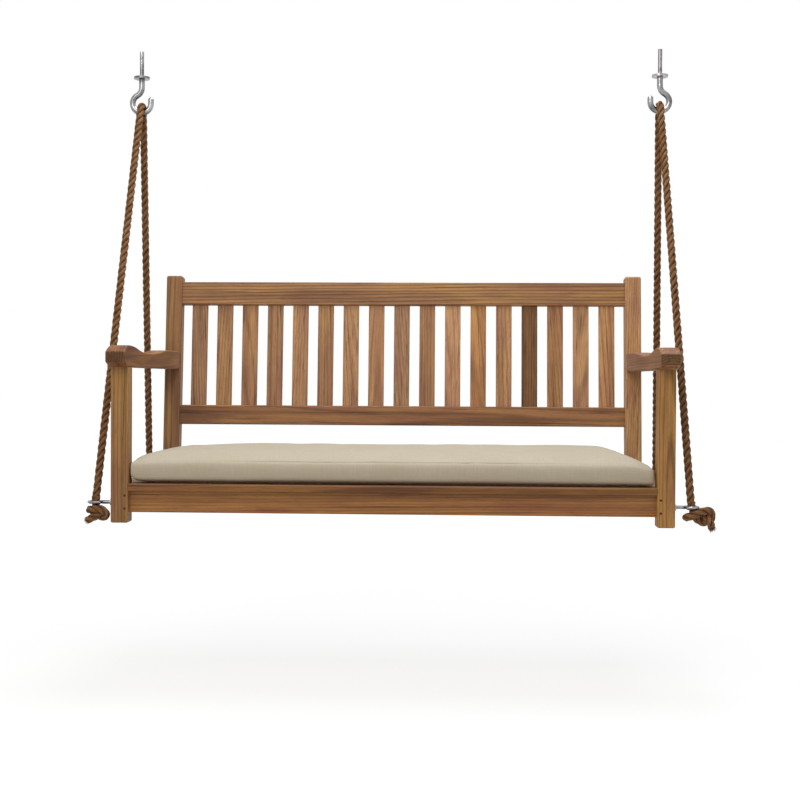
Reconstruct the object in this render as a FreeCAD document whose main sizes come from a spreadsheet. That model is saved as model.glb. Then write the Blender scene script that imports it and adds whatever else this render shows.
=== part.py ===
import FreeCAD, Part
import math
import os
import re

import Sketcher

# A teak garden swing on ropes: a slatted seat and back between shaped arms, hung from two ceiling hooks.
# Millimetres, +Z up, the front facing -Y, so that +X is to the right of someone in front of it.
# The origin is on the ceiling, halfway between the two hooks.

document = FreeCAD.newDocument("garden_swing")
sheet = document.addObject("Spreadsheet::Sheet", "sizes")

driving_sizes = [
    ("frame_width", "1220"),
    ("joint_gap", "0.2"),
    ("cut_overrun", "2"),
    # front legs
    ("leg_width", "38"),
    ("leg_depth", "40"),
    ("leg_height", "339"),
    ("leg_ease", "3"),
    ("foot_chamfer", "2.5"),
    ("leg_tenon_width", "20"),
    ("leg_tenon_depth", "22"),
    ("leg_tenon_height", "24"),
    # rear posts and the raked back
    ("post_width", "41"),
    ("post_depth", "36"),
    ("post_length", "584"),
    ("post_ease", "3"),
    ("post_top_round", "5"),
    ("post_setback", "502"),
    ("back_rake", "5.2"),
    ("rail_thickness", "24"),
    ("rail_ease", "3"),
    ("rail_tenon_length", "18"),
    ("rail_tenon_thickness", "12"),
    ("rail_tenon_shoulder", "6"),
    ("top_rail_rise", "509.5"),
    ("top_rail_height", "59"),
    ("lower_rail_rise", "200.5"),
    ("lower_rail_height", "49"),
    ("slat_count", "17"),
    ("slat_width", "40"),
    ("slat_thickness", "12"),
    ("slat_ease", "2"),
    ("slat_housing", "12"),
    # seat frame
    ("apron_lift", "22"),
    ("apron_height", "47"),
    ("apron_thickness", "22"),
    ("apron_setback", "14"),
    ("apron_tenon_length", "14"),
    ("apron_tenon_thickness", "10"),
    ("apron_tenon_shoulder", "4"),
    ("seat_rail_thickness", "22"),
    ("seat_rail_inset", "11"),
    ("seat_tenon_thickness", "12"),
    ("seat_tenon_shoulder", "6"),
    ("side_tenon_front", "20"),
    ("side_tenon_rear", "12"),
    ("bearer_tenon_length", "10"),
    ("seat_ease", "2"),
    ("peg_diameter", "5.2"),
    ("peg_length", "33"),
    ("peg_inset", "7"),
    ("peg_edge", "9.5"),
    # seat slats
    ("seat_slat_thickness", "16"),
    ("seat_slat_width", "64"),
    ("seat_slat_count", "6"),
    ("seat_slat_ease", "3"),
    ("seat_slat_front_gap", "8"),
    ("seat_slat_rear_gap", "8"),
    # arms
    ("arm_width", "43"),
    ("arm_overhang", "29"),
    ("arm_hump_height", "48"),
    ("arm_dip_height", "34.5"),
    ("arm_rear_height", "46"),
    ("arm_dip_start", "185"),
    ("arm_dip_end", "225"),
    ("arm_rise_end", "440"),
    ("arm_nose_length", "50"),
    ("arm_nose_drop", "15"),
    ("arm_hump_flat", "2"),
    ("arm_bevel_length", "26"),
    ("arm_bevel_height", "10"),
    ("arm_ease", "4"),
    ("arm_tenon_length", "16"),
    ("arm_tenon_width", "22"),
    ("arm_tenon_height", "24"),
    ("arm_tenon_lift", "10"),
    # screw eyes
    ("eye_height", "44"),
    ("eye_front_setback", "14"),
    ("eye_reach", "36"),
    ("eye_ring_radius", "14.5"),
    ("eye_wire", "6.6"),
    ("eye_shank", "8"),
    ("eye_embed", "20"),
    ("eye_collar", "15"),
    ("eye_collar_thickness", "3"),
    # ropes and their knots
    ("rope_diameter", "16"),
    ("rope_clearance", "0.3"),
    ("rope_below_eye", "4"),
    ("knot_clearance", "0.4"),
    ("knot_turn_radius", "15.5"),
    ("knot_turn_pitch", "15"),
    ("knot_turn_tilt", "24"),
    ("knot_turn_shift", "5"),
    ("knot_tail_length", "40"),
    ("knot_tail_dip", "28"),
    # ceiling hooks
    ("hook_span", "1230"),
    ("hook_wire", "14"),
    ("hook_bowl", "22"),
    ("hook_bend", "22"),
    ("hook_neck", "20"),
    ("hook_lip", "8"),
    ("hook_flange", "5"),
    ("hook_flange_diameter", "38"),
    ("stud_diameter", "10"),
    ("stud_length", "60"),
    ("hang_height", "950"),
    ("hang_setback", "300"),
    # seat cushion
    ("cushion_height", "75"),
    ("cushion_setback", "8"),
    ("cushion_side_gap", "3"),
    ("cushion_rear_gap", "7.7"),
    ("cushion_corner", "34"),
    ("cushion_draw", "4"),
    ("cushion_clearance", "0.3"),
]
for row, (alias, size) in enumerate(driving_sizes, start=1):
    sheet.set(f"A{row}", alias)
    sheet.set(f"B{row}", size)
    sheet.setAlias(f"B{row}", alias)
document.recompute()

size_names = {alias for alias, size in driving_sizes}
right_angle = 90
sides = {"left": -1, "right": 1}
sub_parts = []

# The cushion's outline from its underside to the top of its crown: heights as shares of its height,
# and how far the edge draws in there as shares of its depth.
cushion_height_shares = [0, 0.07, 0.18, 0.32, 0.48, 0.60, 0.67, 0.80, 0.90, 0.96, 1]
cushion_inset_shares = [0.053, 0.026, 0.010, 0, 0.005, 0, 0.008, 0.085, 0.19, 0.30, 0.42]


# Formulas and binding

def cells(formula):
    """The formula with each size's name pointing at its cell in the sheet."""
    def cell(word):
        return f"sizes.{word[0]}" if word[0] in size_names else word[0]
    return re.sub("[a-z_]+", cell, formula)


def number(formula):
    """What the formula comes to with the sheet's present sizes."""
    return float(sheet.evalExpression(cells(formula)))


def bind(item, **formulas):
    """Ties properties of an object to the sheet."""
    for name, formula in formulas.items():
        item.setExpression(name, cells(formula))


def move(item, x="0", y="0", z="0"):
    """Ties the place of an object to the sheet."""
    for axis, formula in zip("xyz", (x, y, z)):
        item.setExpression(f".Placement.Base.{axis}", cells(formula))


def turn(item, axis, formula):
    """Ties the turn of an object about one axis to the sheet."""
    item.Placement = FreeCAD.Placement(item.Placement.Base, FreeCAD.Rotation(axis, right_angle))
    item.setExpression(".Placement.Rotation.Angle", cells(formula))


about_x = FreeCAD.Vector(1, 0, 0)
about_y = FreeCAD.Vector(0, 1, 0)


# Places that several pieces share

inner_width = "(frame_width - 2 * post_width)"
hinge_depth = "(hook_flange + hook_neck + sqrt((hook_bend + hook_bowl) ^ 2 - hook_bend ^ 2) + hook_bowl)"
floor_depth = f"({hinge_depth} + hang_height)"
seat_rail_top = "(apron_lift + apron_height)"
seat_rail_middle = "(apron_lift + apron_height / 2)"
seat_top = f"({seat_rail_top} + seat_slat_thickness)"
seat_tenon_cheek = "(seat_rail_thickness - seat_tenon_thickness) / 2"
leg_inner = "(frame_width / 2 - leg_width)"
post_proud = "(post_width - leg_width)"
peg_heights = {
    "lower": "apron_lift + peg_edge",
    "upper": "apron_lift + apron_height - peg_edge",
}


def bench_y(formula):
    """A distance behind the front faces of the legs, as a place in the part."""
    return f"({formula} - hang_setback)"


def bench_z(formula):
    """A height over the feet of the legs, as a place in the part."""
    return f"({formula} - {floor_depth})"


def back_y(deep, along):
    """How far behind the legs' front a point is that lies deep in the posts and along their length."""
    return f"(post_setback + ({deep}) * cos(back_rake) + ({along}) * sin(back_rake))"


def back_z(deep, along):
    """How high over the feet such a point is."""
    return f"(({along}) * cos(back_rake) - ({deep}) * sin(back_rake))"


def post_face(height):
    """How far behind the legs' front the posts' front face is at a height over the feet."""
    return f"(post_setback + ({height}) * tan(back_rake))"


def post_middle(height):
    """The same for the middle of the posts' depth."""
    return f"({post_face(height)} + post_depth / 2 / cos(back_rake))"


def into_back(y, z):
    """A point of the level bench, deep and along in the raked back."""
    behind = f"({y} - post_setback)"
    deep = f"({behind} * cos(back_rake) - ({z}) * sin(back_rake))"
    along = f"({behind} * sin(back_rake) + ({z}) * cos(back_rake))"
    return deep, along


# Making bodies and their features

def new_body(label):
    """An empty sub-part."""
    body = document.addObject("PartDesign::Body", label)
    body.Label = label
    sub_parts.append(body)
    return body


def block(body, kind, name, size, place, hand=1):
    """A box feature, its near corner at place; on the left hand it is mirrored across x."""
    feature = body.newObject(f"PartDesign::{kind}Box", name)
    long, wide, high = size
    x, y, z = place
    bind(feature, Length=long, Width=wide, Height=high)
    move(feature, x if hand > 0 else f"-(({x}) + ({long}))", y, z)
    return feature


def bar_across(body, kind, name, radius, length, place, hand=1):
    """A round feature along x, starting at place; on the left hand it is mirrored across x."""
    feature = body.newObject(f"PartDesign::{kind}Cylinder", name)
    x, y, z = place
    bind(feature, Radius=radius, Height=length)
    feature.Placement = FreeCAD.Placement(FreeCAD.Vector(), FreeCAD.Rotation(about_y, right_angle))
    move(feature, x if hand > 0 else f"-(({x}) + ({length}))", y, z)
    return feature


def bar_back(body, kind, name, radius, length, place):
    """A round feature along y, starting at place."""
    feature = body.newObject(f"PartDesign::{kind}Cylinder", name)
    bind(feature, Radius=radius, Height=length)
    feature.Placement = FreeCAD.Placement(FreeCAD.Vector(), FreeCAD.Rotation(about_x, -right_angle))
    move(feature, *place)
    return feature


def edges_along(feature, axis):
    """The names of a feature's straight edges that run along an axis."""
    named = []
    for index, edge in enumerate(feature.Shape.Edges, start=1):
        if len(edge.Vertexes) == 2:
            run = edge.Vertexes[1].Point - edge.Vertexes[0].Point
            if abs(abs(run.dot(axis)) - edge.Length) < Part.Precision.confusion():
                named.append(f"Edge{index}")
    return named


def edges_round(feature, axis, end):
    """The names of the edges round a feature's lowest (-1) or highest (1) face along an axis."""
    level = max(end * vertex.Point.dot(axis) for vertex in feature.Shape.Vertexes)
    named = []
    for index, edge in enumerate(feature.Shape.Edges, start=1):
        reach = min(end * vertex.Point.dot(axis) for vertex in edge.Vertexes)
        if reach > level - Part.Precision.confusion():
            named.append(f"Edge{index}")
    return named


def ease(body, feature, edges, radius, kind="Fillet"):
    """Rounds or chamfers some edges of a feature."""
    dressed = body.newObject(f"PartDesign::{kind}", f"{body.Name}_{feature.Name}_{kind.lower()}")
    dressed.Base = (feature, edges)
    bind(dressed, **{"Radius" if kind == "Fillet" else "Size": radius})
    document.recompute()
    return dressed


def along(axis):
    """The unit vector of an axis named x, y or z."""
    return FreeCAD.Vector(*(float(axis == letter) for letter in "xyz"))


def eased_bar(body, name, size, place, axis, radius):
    """A bar of wood with its long edges eased."""
    bar = block(body, "Additive", name, size, place)
    document.recompute()
    return ease(body, bar, edges_along(bar, along(axis)), radius)


def plane_of(body, role):
    """One of a body's own origin planes or axes."""
    return next(item for item in body.Origin.OriginFeatures if item.Role == role)


def outline(body, role, name, corners, arcs, closed=True):
    """A sketch through corners that follow the sheet; arcs gives an edge's radius and the side it bends."""
    sketch = body.newObject("Sketcher::SketchObject", name)
    sketch.AttachmentSupport = (plane_of(body, role), [""])
    sketch.MapMode = "FlatFace"
    points = [FreeCAD.Vector(number(across), number(up), 0) for across, up in corners]
    last = len(points) if closed else len(points) - 1
    ends = []
    for edge in range(last):
        start = points[edge]
        stop = points[(edge + 1) % len(points)]
        if edge not in arcs:
            sketch.addGeometry(Part.LineSegment(start, stop))
            ends.append((1, 2))
            continue
        radius, side = number(arcs[edge][0]), arcs[edge][1]
        chord = stop - start
        rise = math.sqrt(max(radius**2 - (chord.Length / 2) ** 2, 0))
        centre = (start + stop) / 2 + FreeCAD.Vector(-chord.y, chord.x, 0).normalize() * side * rise
        first, second = (start, stop) if side > 0 else (stop, start)
        begin = math.atan2(first.y - centre.y, first.x - centre.x)
        finish = math.atan2(second.y - centre.y, second.x - centre.x)
        finish += 2 * math.pi * (finish < begin)
        circle = Part.Circle(centre, FreeCAD.Vector(0, 0, 1), radius)
        sketch.addGeometry(Part.ArcOfCircle(circle, begin, finish))
        ends.append((1, 2) if side > 0 else (2, 1))
    for edge in range(last if closed else last - 1):
        after = (edge + 1) % last
        sketch.addConstraint(Sketcher.Constraint("Coincident", edge, ends[edge][1], after, ends[after][0]))
    for corner, (across, up) in enumerate(corners):
        edge, pole = (corner, ends[corner][0]) if corner < last else (last - 1, ends[-1][1])
        places = (("DistanceX", across, points[corner].x), ("DistanceY", up, points[corner].y))
        for kind, formula, value in places:
            held = sketch.addConstraint(Sketcher.Constraint(kind, -1, 1, edge, pole, value))
            sketch.setExpression(f"Constraints[{held}]", cells(formula))
    for edge, (radius, side) in arcs.items():
        held = sketch.addConstraint(Sketcher.Constraint("Radius", edge, number(radius)))
        sketch.setExpression(f"Constraints[{held}]", cells(radius))
    return sketch


def round_profile(body, role, name, radius):
    """A circle about a body's own origin."""
    sketch = body.newObject("Sketcher::SketchObject", name)
    sketch.AttachmentSupport = (plane_of(body, role), [""])
    sketch.MapMode = "FlatFace"
    sketch.addGeometry(Part.Circle(FreeCAD.Vector(), FreeCAD.Vector(0, 0, 1), number(radius)))
    sketch.addConstraint(Sketcher.Constraint("Coincident", 0, 3, -1, 1))
    held = sketch.addConstraint(Sketcher.Constraint("Radius", 0, number(radius)))
    sketch.setExpression(f"Constraints[{held}]", cells(radius))
    return sketch


def padded(body, name, sketch, length, hand=1):
    """A pad of a sketch along its plane's normal, or the other way on the left hand."""
    pad = body.newObject("PartDesign::Pad", name)
    pad.Profile = sketch
    pad.Reversed = hand < 0
    bind(pad, Length=length)
    document.recompute()
    return pad


# Front legs

def front_leg(side, hand):
    """A square leg: a tenon into the arm, mortises for the seat's rails, holes for the pegs and eye."""
    body = new_body(f"front_leg_{side}")
    post = block(body, "Additive", "leg", ("leg_width", "leg_depth", "leg_height"), ("0", "0", "0"), hand)
    document.recompute()
    eased = ease(body, post, edges_along(post, along("z")), "leg_ease")
    ease(body, eased, edges_round(eased, along("z"), -1), "foot_chamfer", "Chamfer")
    block(body, "Additive", "arm_tenon", ("leg_tenon_width", "leg_tenon_depth", "leg_tenon_height"),
          ("(leg_width - leg_tenon_width) / 2", "(leg_depth - leg_tenon_depth) / 2", "leg_height"), hand)
    block(body, "Subtractive", "apron_mortise",
          ("apron_tenon_length + joint_gap + cut_overrun", "apron_tenon_thickness + 2 * joint_gap",
           "apron_height - 2 * apron_tenon_shoulder + 2 * joint_gap"),
          ("-cut_overrun", "apron_setback + (apron_thickness - apron_tenon_thickness) / 2 - joint_gap",
           "apron_lift + apron_tenon_shoulder - joint_gap"), hand)
    block(body, "Subtractive", "side_mortise",
          ("seat_tenon_thickness + 2 * joint_gap", "side_tenon_front + joint_gap + cut_overrun",
           "apron_height - 2 * seat_tenon_shoulder + 2 * joint_gap"),
          (f"seat_rail_inset + {seat_tenon_cheek} - joint_gap", "leg_depth - side_tenon_front - joint_gap",
           "apron_lift + seat_tenon_shoulder - joint_gap"), hand)
    for level, height in peg_heights.items():
        bar_back(body, "Subtractive", f"peg_hole_{level}", "peg_diameter / 2 + joint_gap / 2",
                 "peg_length + joint_gap + cut_overrun", (f"{hand} * peg_inset", "-cut_overrun", height))
    bar_across(body, "Subtractive", "eye_hole", "eye_shank / 2 + joint_gap / 2",
               "eye_embed + joint_gap + cut_overrun",
               ("leg_width - eye_embed - joint_gap", "eye_front_setback", "eye_height"), hand)
    move(body, f"{hand} * {leg_inner}", bench_y("0"), bench_z("0"))


# Raked rear posts

def level_cut(body, name, size, x, y, z, hand):
    """A box cut that lies level with the seat in a raked post, its near corner at a place on the bench."""
    cut = block(body, "Subtractive", name, size, (x, *into_back(y, z)), hand)
    turn(cut, about_x, "back_rake")


def rear_post(side, hand):
    """A raked post with a rounded head, mortised for both back rails, the arm and the seat's rails."""
    body = new_body(f"rear_post_{side}")
    size = ("post_width", "post_depth", "post_length")
    post = block(body, "Additive", "post", size, ("0", "0", "0"), hand)
    document.recompute()
    eased = ease(body, post, edges_along(post, along("z")), "post_ease")
    ease(body, eased, edges_round(eased, along("z"), 1), "post_top_round")
    level_cut(body, "level_foot", ("post_width + 2 * cut_overrun", "2 * post_depth", "post_depth"),
              "-cut_overrun", "post_setback - post_depth / 2", "-post_depth", hand)
    for rail in ("lower_rail", "top_rail"):
        block(body, "Subtractive", f"{rail}_mortise",
              ("rail_tenon_length + joint_gap + cut_overrun", "rail_tenon_thickness + 2 * joint_gap",
               f"{rail}_height - 2 * rail_tenon_shoulder + 2 * joint_gap"),
              ("-cut_overrun", "(post_depth - rail_tenon_thickness) / 2 - joint_gap",
               f"{rail}_rise + rail_tenon_shoulder - joint_gap"), hand)
    seat_mortise_height = "apron_height - 2 * seat_tenon_shoulder + 2 * joint_gap"
    seat_mortise_floor = "apron_lift + seat_tenon_shoulder - joint_gap"
    level_cut(body, "rear_rail_mortise",
              ("rail_tenon_length + joint_gap + cut_overrun", "seat_tenon_thickness + 2 * joint_gap",
               seat_mortise_height),
              "-cut_overrun", f"{post_middle(seat_rail_middle)} - seat_tenon_thickness / 2 - joint_gap",
              seat_mortise_floor, hand)
    level_cut(body, "side_rail_mortise",
              ("seat_tenon_thickness + 2 * joint_gap", "side_tenon_rear + joint_gap + cut_overrun",
               seat_mortise_height),
              f"{post_proud} + seat_rail_inset + {seat_tenon_cheek} - joint_gap",
              f"{post_face('apron_lift + seat_tenon_shoulder')} - cut_overrun", seat_mortise_floor, hand)
    level_cut(body, "arm_mortise",
              ("arm_tenon_width + 2 * joint_gap", "arm_tenon_length + joint_gap + cut_overrun",
               "arm_tenon_height + 2 * joint_gap"),
              "(post_width - arm_tenon_width) / 2 - joint_gap",
              f"{post_face('leg_height + arm_tenon_lift')} - cut_overrun",
              "leg_height + arm_tenon_lift - joint_gap", hand)
    eye_place = into_back(post_middle("eye_height"), "eye_height")
    bar_across(body, "Subtractive", "eye_hole", "eye_shank / 2 + joint_gap / 2",
               "eye_embed + joint_gap + cut_overrun",
               ("post_width - eye_embed - joint_gap", *eye_place), hand)
    move(body, f"{hand} * (frame_width / 2 - post_width)", bench_y("post_setback"), bench_z("0"))
    turn(body, about_x, "-back_rake")


# Back rails and slats

slat_gap = f"(({inner_width} - slat_count * slat_width) / (slat_count + 1))"
slat_pitch = f"(slat_width + {slat_gap})"
first_slat = f"(-{inner_width} / 2 + {slat_gap})"
slat_deep = "((post_depth - slat_thickness) / 2)"
rail_deep = "((post_depth - rail_thickness) / 2)"


def place_in_back(body, x, deep, along_back):
    """Puts a body into the raked back."""
    move(body, x, bench_y(back_y(deep, along_back)), bench_z(back_z(deep, along_back)))
    turn(body, about_x, "-back_rake")


def back_rail(rail, housing_floor):
    """A rail of the back: tenons into the posts and a row of housings for the slats."""
    body = new_body(f"back_{rail}")
    height = f"{rail}_height"
    eased_bar(body, "rail", (inner_width, "rail_thickness", height), (f"-{inner_width} / 2", "0", "0"),
              "x", "rail_ease")
    for end, hand in sides.items():
        block(body, "Additive", f"tenon_{end}",
              ("rail_tenon_length", "rail_tenon_thickness", f"{height} - 2 * rail_tenon_shoulder"),
              (f"{inner_width} / 2", "(rail_thickness - rail_tenon_thickness) / 2",
               "rail_tenon_shoulder"), hand)
    housing = block(body, "Subtractive", "housing",
                    ("slat_width + 2 * joint_gap", "slat_thickness + 2 * joint_gap",
                     "slat_housing + joint_gap + cut_overrun"),
                    (f"{first_slat} - joint_gap", "(rail_thickness - slat_thickness) / 2 - joint_gap",
                     housing_floor))
    document.recompute()
    row = body.newObject("PartDesign::LinearPattern", f"{rail}_housings")
    row.Originals = [housing]
    row.Direction = (plane_of(body, "X_Axis"), [""])
    bind(row, Length=f"{slat_pitch} * (slat_count - 1)", Occurrences="slat_count")
    body.Tip = row
    place_in_back(body, "0", rail_deep, f"{rail}_rise")


def back_slat(order):
    """One upright slat, housed in both rails."""
    body = new_body(f"back_slat_{order + 1:02d}")
    length = "top_rail_rise - lower_rail_rise - lower_rail_height + 2 * slat_housing"
    eased_bar(body, "slat", ("slat_width", "slat_thickness", length), ("0", "0", "0"), "z", "slat_ease")
    place_in_back(body, f"{first_slat} + {order} * {slat_pitch}", slat_deep,
                  "lower_rail_rise + lower_rail_height - slat_housing")


# Seat frame

def apron():
    """The front rail of the seat: tenons pegged into the legs, and a mortise for the bearer."""
    body = new_body("seat_apron")
    eased_bar(body, "rail", (f"2 * {leg_inner}", "apron_thickness", "apron_height"),
              (f"-{leg_inner}", "0", "0"), "x", "seat_ease")
    for end, hand in sides.items():
        block(body, "Additive", f"tenon_{end}",
              ("apron_tenon_length", "apron_tenon_thickness", "apron_height - 2 * apron_tenon_shoulder"),
              (leg_inner, "(apron_thickness - apron_tenon_thickness) / 2", "apron_tenon_shoulder"), hand)
        for level, height in peg_heights.items():
            bar_back(body, "Subtractive", f"peg_hole_{end}_{level}", "peg_diameter / 2 + joint_gap / 2",
                     "apron_thickness",
                     (f"{hand} * ({leg_inner} + peg_inset)", "0", f"{height} - apron_lift"))
    bearer_mortise(body, "apron_thickness - bearer_tenon_length - joint_gap")
    move(body, "0", bench_y("apron_setback"), bench_z("apron_lift"))


def bearer_mortise(body, floor):
    """The blind mortise for an end of the centre bearer."""
    block(body, "Subtractive", "bearer_mortise",
          ("seat_tenon_thickness + 2 * joint_gap", "bearer_tenon_length + joint_gap + cut_overrun",
           "apron_height - 2 * seat_tenon_shoulder + 2 * joint_gap"),
          ("-seat_tenon_thickness / 2 - joint_gap", floor, "seat_tenon_shoulder - joint_gap"))


def rear_rail():
    """The rear rail of the seat, between the posts."""
    body = new_body("seat_rear_rail")
    eased_bar(body, "rail", (inner_width, "seat_rail_thickness", "apron_height"),
              (f"-{inner_width} / 2", "0", "0"), "x", "seat_ease")
    for end, hand in sides.items():
        block(body, "Additive", f"tenon_{end}",
              ("rail_tenon_length", "seat_tenon_thickness", "apron_height - 2 * seat_tenon_shoulder"),
              (f"{inner_width} / 2", seat_tenon_cheek, "seat_tenon_shoulder"), hand)
    bearer_mortise(body, "-cut_overrun")
    front = f"{post_middle(seat_rail_middle)} - seat_rail_thickness / 2"
    move(body, "0", bench_y(front), bench_z("apron_lift"))


def side_rail(side, hand):
    """A side rail of the seat from leg to post, its rear shoulder cut to the rake."""
    body = new_body(f"seat_side_rail_{side}")
    low_end = f"{post_face('apron_lift')} - leg_depth"
    high_end = f"{post_face(seat_rail_top)} - leg_depth"
    corners = [("0", "0"), (low_end, "0"), (high_end, "apron_height"), ("0", "apron_height")]
    sketch = outline(body, "YZ_Plane", f"side_rail_profile_{side}", corners, {})
    padded(body, f"side_rail_pad_{side}", sketch, "seat_rail_thickness", hand)
    block(body, "Additive", "front_tenon",
          ("seat_tenon_thickness", "side_tenon_front", "apron_height - 2 * seat_tenon_shoulder"),
          (seat_tenon_cheek, "-side_tenon_front", "seat_tenon_shoulder"), hand)
    tenon_root = f"({post_face('apron_lift')} - leg_depth)"
    block(body, "Additive", "rear_tenon",
          ("seat_tenon_thickness",
           f"{post_face('apron_lift + seat_tenon_shoulder')} - leg_depth + side_tenon_rear - {tenon_root}",
           "apron_height - 2 * seat_tenon_shoulder"),
          (seat_tenon_cheek, tenon_root, "seat_tenon_shoulder"), hand)
    move(body, f"{hand} * ({leg_inner} + seat_rail_inset)", bench_y("leg_depth"), bench_z("apron_lift"))


def centre_bearer():
    """The bearer under the middle of the seat slats, from the apron to the rear rail."""
    body = new_body("seat_centre_bearer")
    run = f"({post_middle(seat_rail_middle)} - seat_rail_thickness / 2 - apron_setback - apron_thickness)"
    eased_bar(body, "rail", ("seat_rail_thickness", run, "apron_height"),
              ("-seat_rail_thickness / 2", "0", "0"), "y", "seat_ease")
    block(body, "Additive", "tenons",
          ("seat_tenon_thickness", f"{run} + 2 * bearer_tenon_length",
           "apron_height - 2 * seat_tenon_shoulder"),
          ("-seat_tenon_thickness / 2", "-bearer_tenon_length", "seat_tenon_shoulder"))
    move(body, "0", bench_y("apron_setback + apron_thickness"), bench_z("apron_lift"))


def seat_slat(label, half_length, width, setback):
    """One lengthwise slat of the seat."""
    body = new_body(label)
    eased_bar(body, "slat", (f"2 * {half_length}", width, "seat_slat_thickness"),
              (f"-{half_length}", "0", "0"), "x", "seat_slat_ease")
    move(body, "0", bench_y(setback), bench_z(seat_rail_top))


def seat_slats():
    """The front slat between the legs and the row of slats behind it on the side rails."""
    seat_slat("seat_slat_front", f"({leg_inner} - joint_gap)", "leg_depth", "0")
    start = "(leg_depth + seat_slat_front_gap)"
    room = f"({post_face(seat_rail_top)} - seat_slat_rear_gap - {start} - seat_slat_width)"
    for order in range(int(number("seat_slat_count"))):
        seat_slat(f"seat_slat_{order + 1:02d}", f"({leg_inner} + seat_rail_inset + seat_rail_thickness)",
                  "seat_slat_width", f"{start} + {order} * {room} / (seat_slat_count - 1)")


def apron_peg(side, hand, level):
    """A round peg through the leg and the apron's tenon, flush with the leg's face."""
    body = new_body(f"apron_peg_{side}_{level}")
    bar_back(body, "Additive", "peg", "peg_diameter / 2", "peg_length", ("0", "0", "0"))
    move(body, f"{hand} * ({leg_inner} + peg_inset)", bench_y("0"), bench_z(peg_heights[level]))


# Shaped arms

def swell(length, fall):
    """The radius of two equal arcs that make a soft step of a given length and fall."""
    return f"((({length}) ^ 2 + ({fall}) ^ 2) / (4 * ({fall})))"


def arm(side, hand):
    """An arm with a rolled nose, a hump over the leg, a dip for the forearm and a rise to the post."""
    body = new_body(f"arm_{side}")
    front = "-arm_overhang"
    hump_start = f"({front} + arm_nose_length)"
    hump_end = f"({hump_start} + arm_hump_flat)"
    fall = "arm_hump_height - arm_dip_height"
    climb = "arm_rear_height - arm_dip_height"
    corners = [
        (f"{front} + arm_bevel_length", "0"),
        (post_face("leg_height"), "0"),
        (post_face("leg_height + arm_rear_height"), "arm_rear_height"),
        ("arm_rise_end", "arm_rear_height"),
        ("(arm_dip_end + arm_rise_end) / 2", "(arm_dip_height + arm_rear_height) / 2"),
        ("arm_dip_end", "arm_dip_height"),
        ("arm_dip_start", "arm_dip_height"),
        (f"({hump_end} + arm_dip_start) / 2", "(arm_hump_height + arm_dip_height) / 2"),
        (hump_end, "arm_hump_height"),
        (hump_start, "arm_hump_height"),
        (front, "arm_hump_height - arm_nose_drop"),
        (front, "arm_bevel_height"),
    ]
    rise_radius = swell("arm_rise_end - arm_dip_end", climb)
    fall_radius = swell(f"arm_dip_start - {hump_end}", fall)
    nose_radius = "((arm_nose_length ^ 2 + arm_nose_drop ^ 2) / (2 * arm_nose_drop))"
    arcs = {3: (rise_radius, 1), 4: (rise_radius, -1), 6: (fall_radius, -1), 7: (fall_radius, 1),
            9: (nose_radius, 1)}
    sketch = outline(body, "YZ_Plane", f"arm_profile_{side}", corners, arcs)
    pad = padded(body, f"arm_pad_{side}", sketch, "arm_width", hand)
    ease(body, pad, arm_face_edges(pad), "arm_ease")
    root = f"({post_face('leg_height')} - arm_tenon_length)"
    block(body, "Additive", "post_tenon",
          ("arm_tenon_width", f"{post_face('leg_height + arm_tenon_lift')} + arm_tenon_length - {root}",
           "arm_tenon_height"),
          (f"(post_width - arm_tenon_width) / 2 - {post_proud}", root, "arm_tenon_lift"), hand)
    block(body, "Subtractive", "leg_mortise",
          ("leg_tenon_width + 2 * joint_gap", "leg_tenon_depth + 2 * joint_gap",
           "leg_tenon_height + joint_gap + cut_overrun"),
          ("(leg_width - leg_tenon_width) / 2 - joint_gap", "(leg_depth - leg_tenon_depth) / 2 - joint_gap",
           "-cut_overrun"), hand)
    move(body, f"{hand} * {leg_inner}", bench_y("0"), bench_z("leg_height"))


def arm_face_edges(pad):
    """The edges round an arm's two side faces, without those on the post, and the one across its nose."""
    rear = number(post_face("leg_height"))
    nose = FreeCAD.Vector(0, number("-arm_overhang"), number("arm_hump_height - arm_nose_drop"))
    named = []
    for index, edge in enumerate(pad.Shape.Edges, start=1):
        ends = [vertex.Point for vertex in edge.Vertexes]
        on_side = abs(ends[0].x - ends[-1].x) < Part.Precision.confusion()
        on_post = min(end.y for end in ends) > rear - Part.Precision.confusion()
        on_nose = all((end - nose).cross(along("x")).Length < Part.Precision.confusion() for end in ends)
        if on_nose or on_side and not on_post:
            named.append(f"Edge{index}")
    return named


# Screw eyes

def screw_eye(place, hand, setback, face):
    """A ring on a shank screwed into the outer face of a leg or post."""
    body = new_body(f"screw_eye_{place}")
    ring = body.newObject("PartDesign::AdditiveTorus", "ring")
    bind(ring, Radius1="eye_ring_radius", Radius2="eye_wire / 2")
    move(ring, f"{hand} * eye_reach")
    bar_across(body, "Additive", "shank", "eye_shank / 2", "eye_embed + eye_reach - eye_ring_radius",
               ("-eye_embed", "0", "0"), hand)
    bar_across(body, "Additive", "collar", "eye_collar / 2", "eye_collar_thickness", ("0", "0", "0"), hand)
    move(body, f"{hand} * {face}", bench_y(setback), bench_z("eye_height"))


# Ropes and knots

eye_across = "(frame_width / 2 + eye_reach)"
eye_drop = "(hang_height - eye_height)"
rope_lean = f"atan(({eye_across} - hook_span / 2) / {eye_drop})"
rope_fall = f"({eye_drop} / cos({rope_lean}))"
rope_turn = "(hook_wire / 2 + rope_clearance + rope_diameter / 2)"
rope_reaches = {"front": bench_y("eye_front_setback"), "rear": bench_y(post_middle("eye_height"))}
rope_ways = {"front": -1, "rear": 1}


def rope_run(end):
    """How long a rope's straight run is from its turn over the hook to an eye."""
    return f"sqrt({rope_reaches[end]} ^ 2 + {rope_fall} ^ 2 - {rope_turn} ^ 2)"


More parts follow.
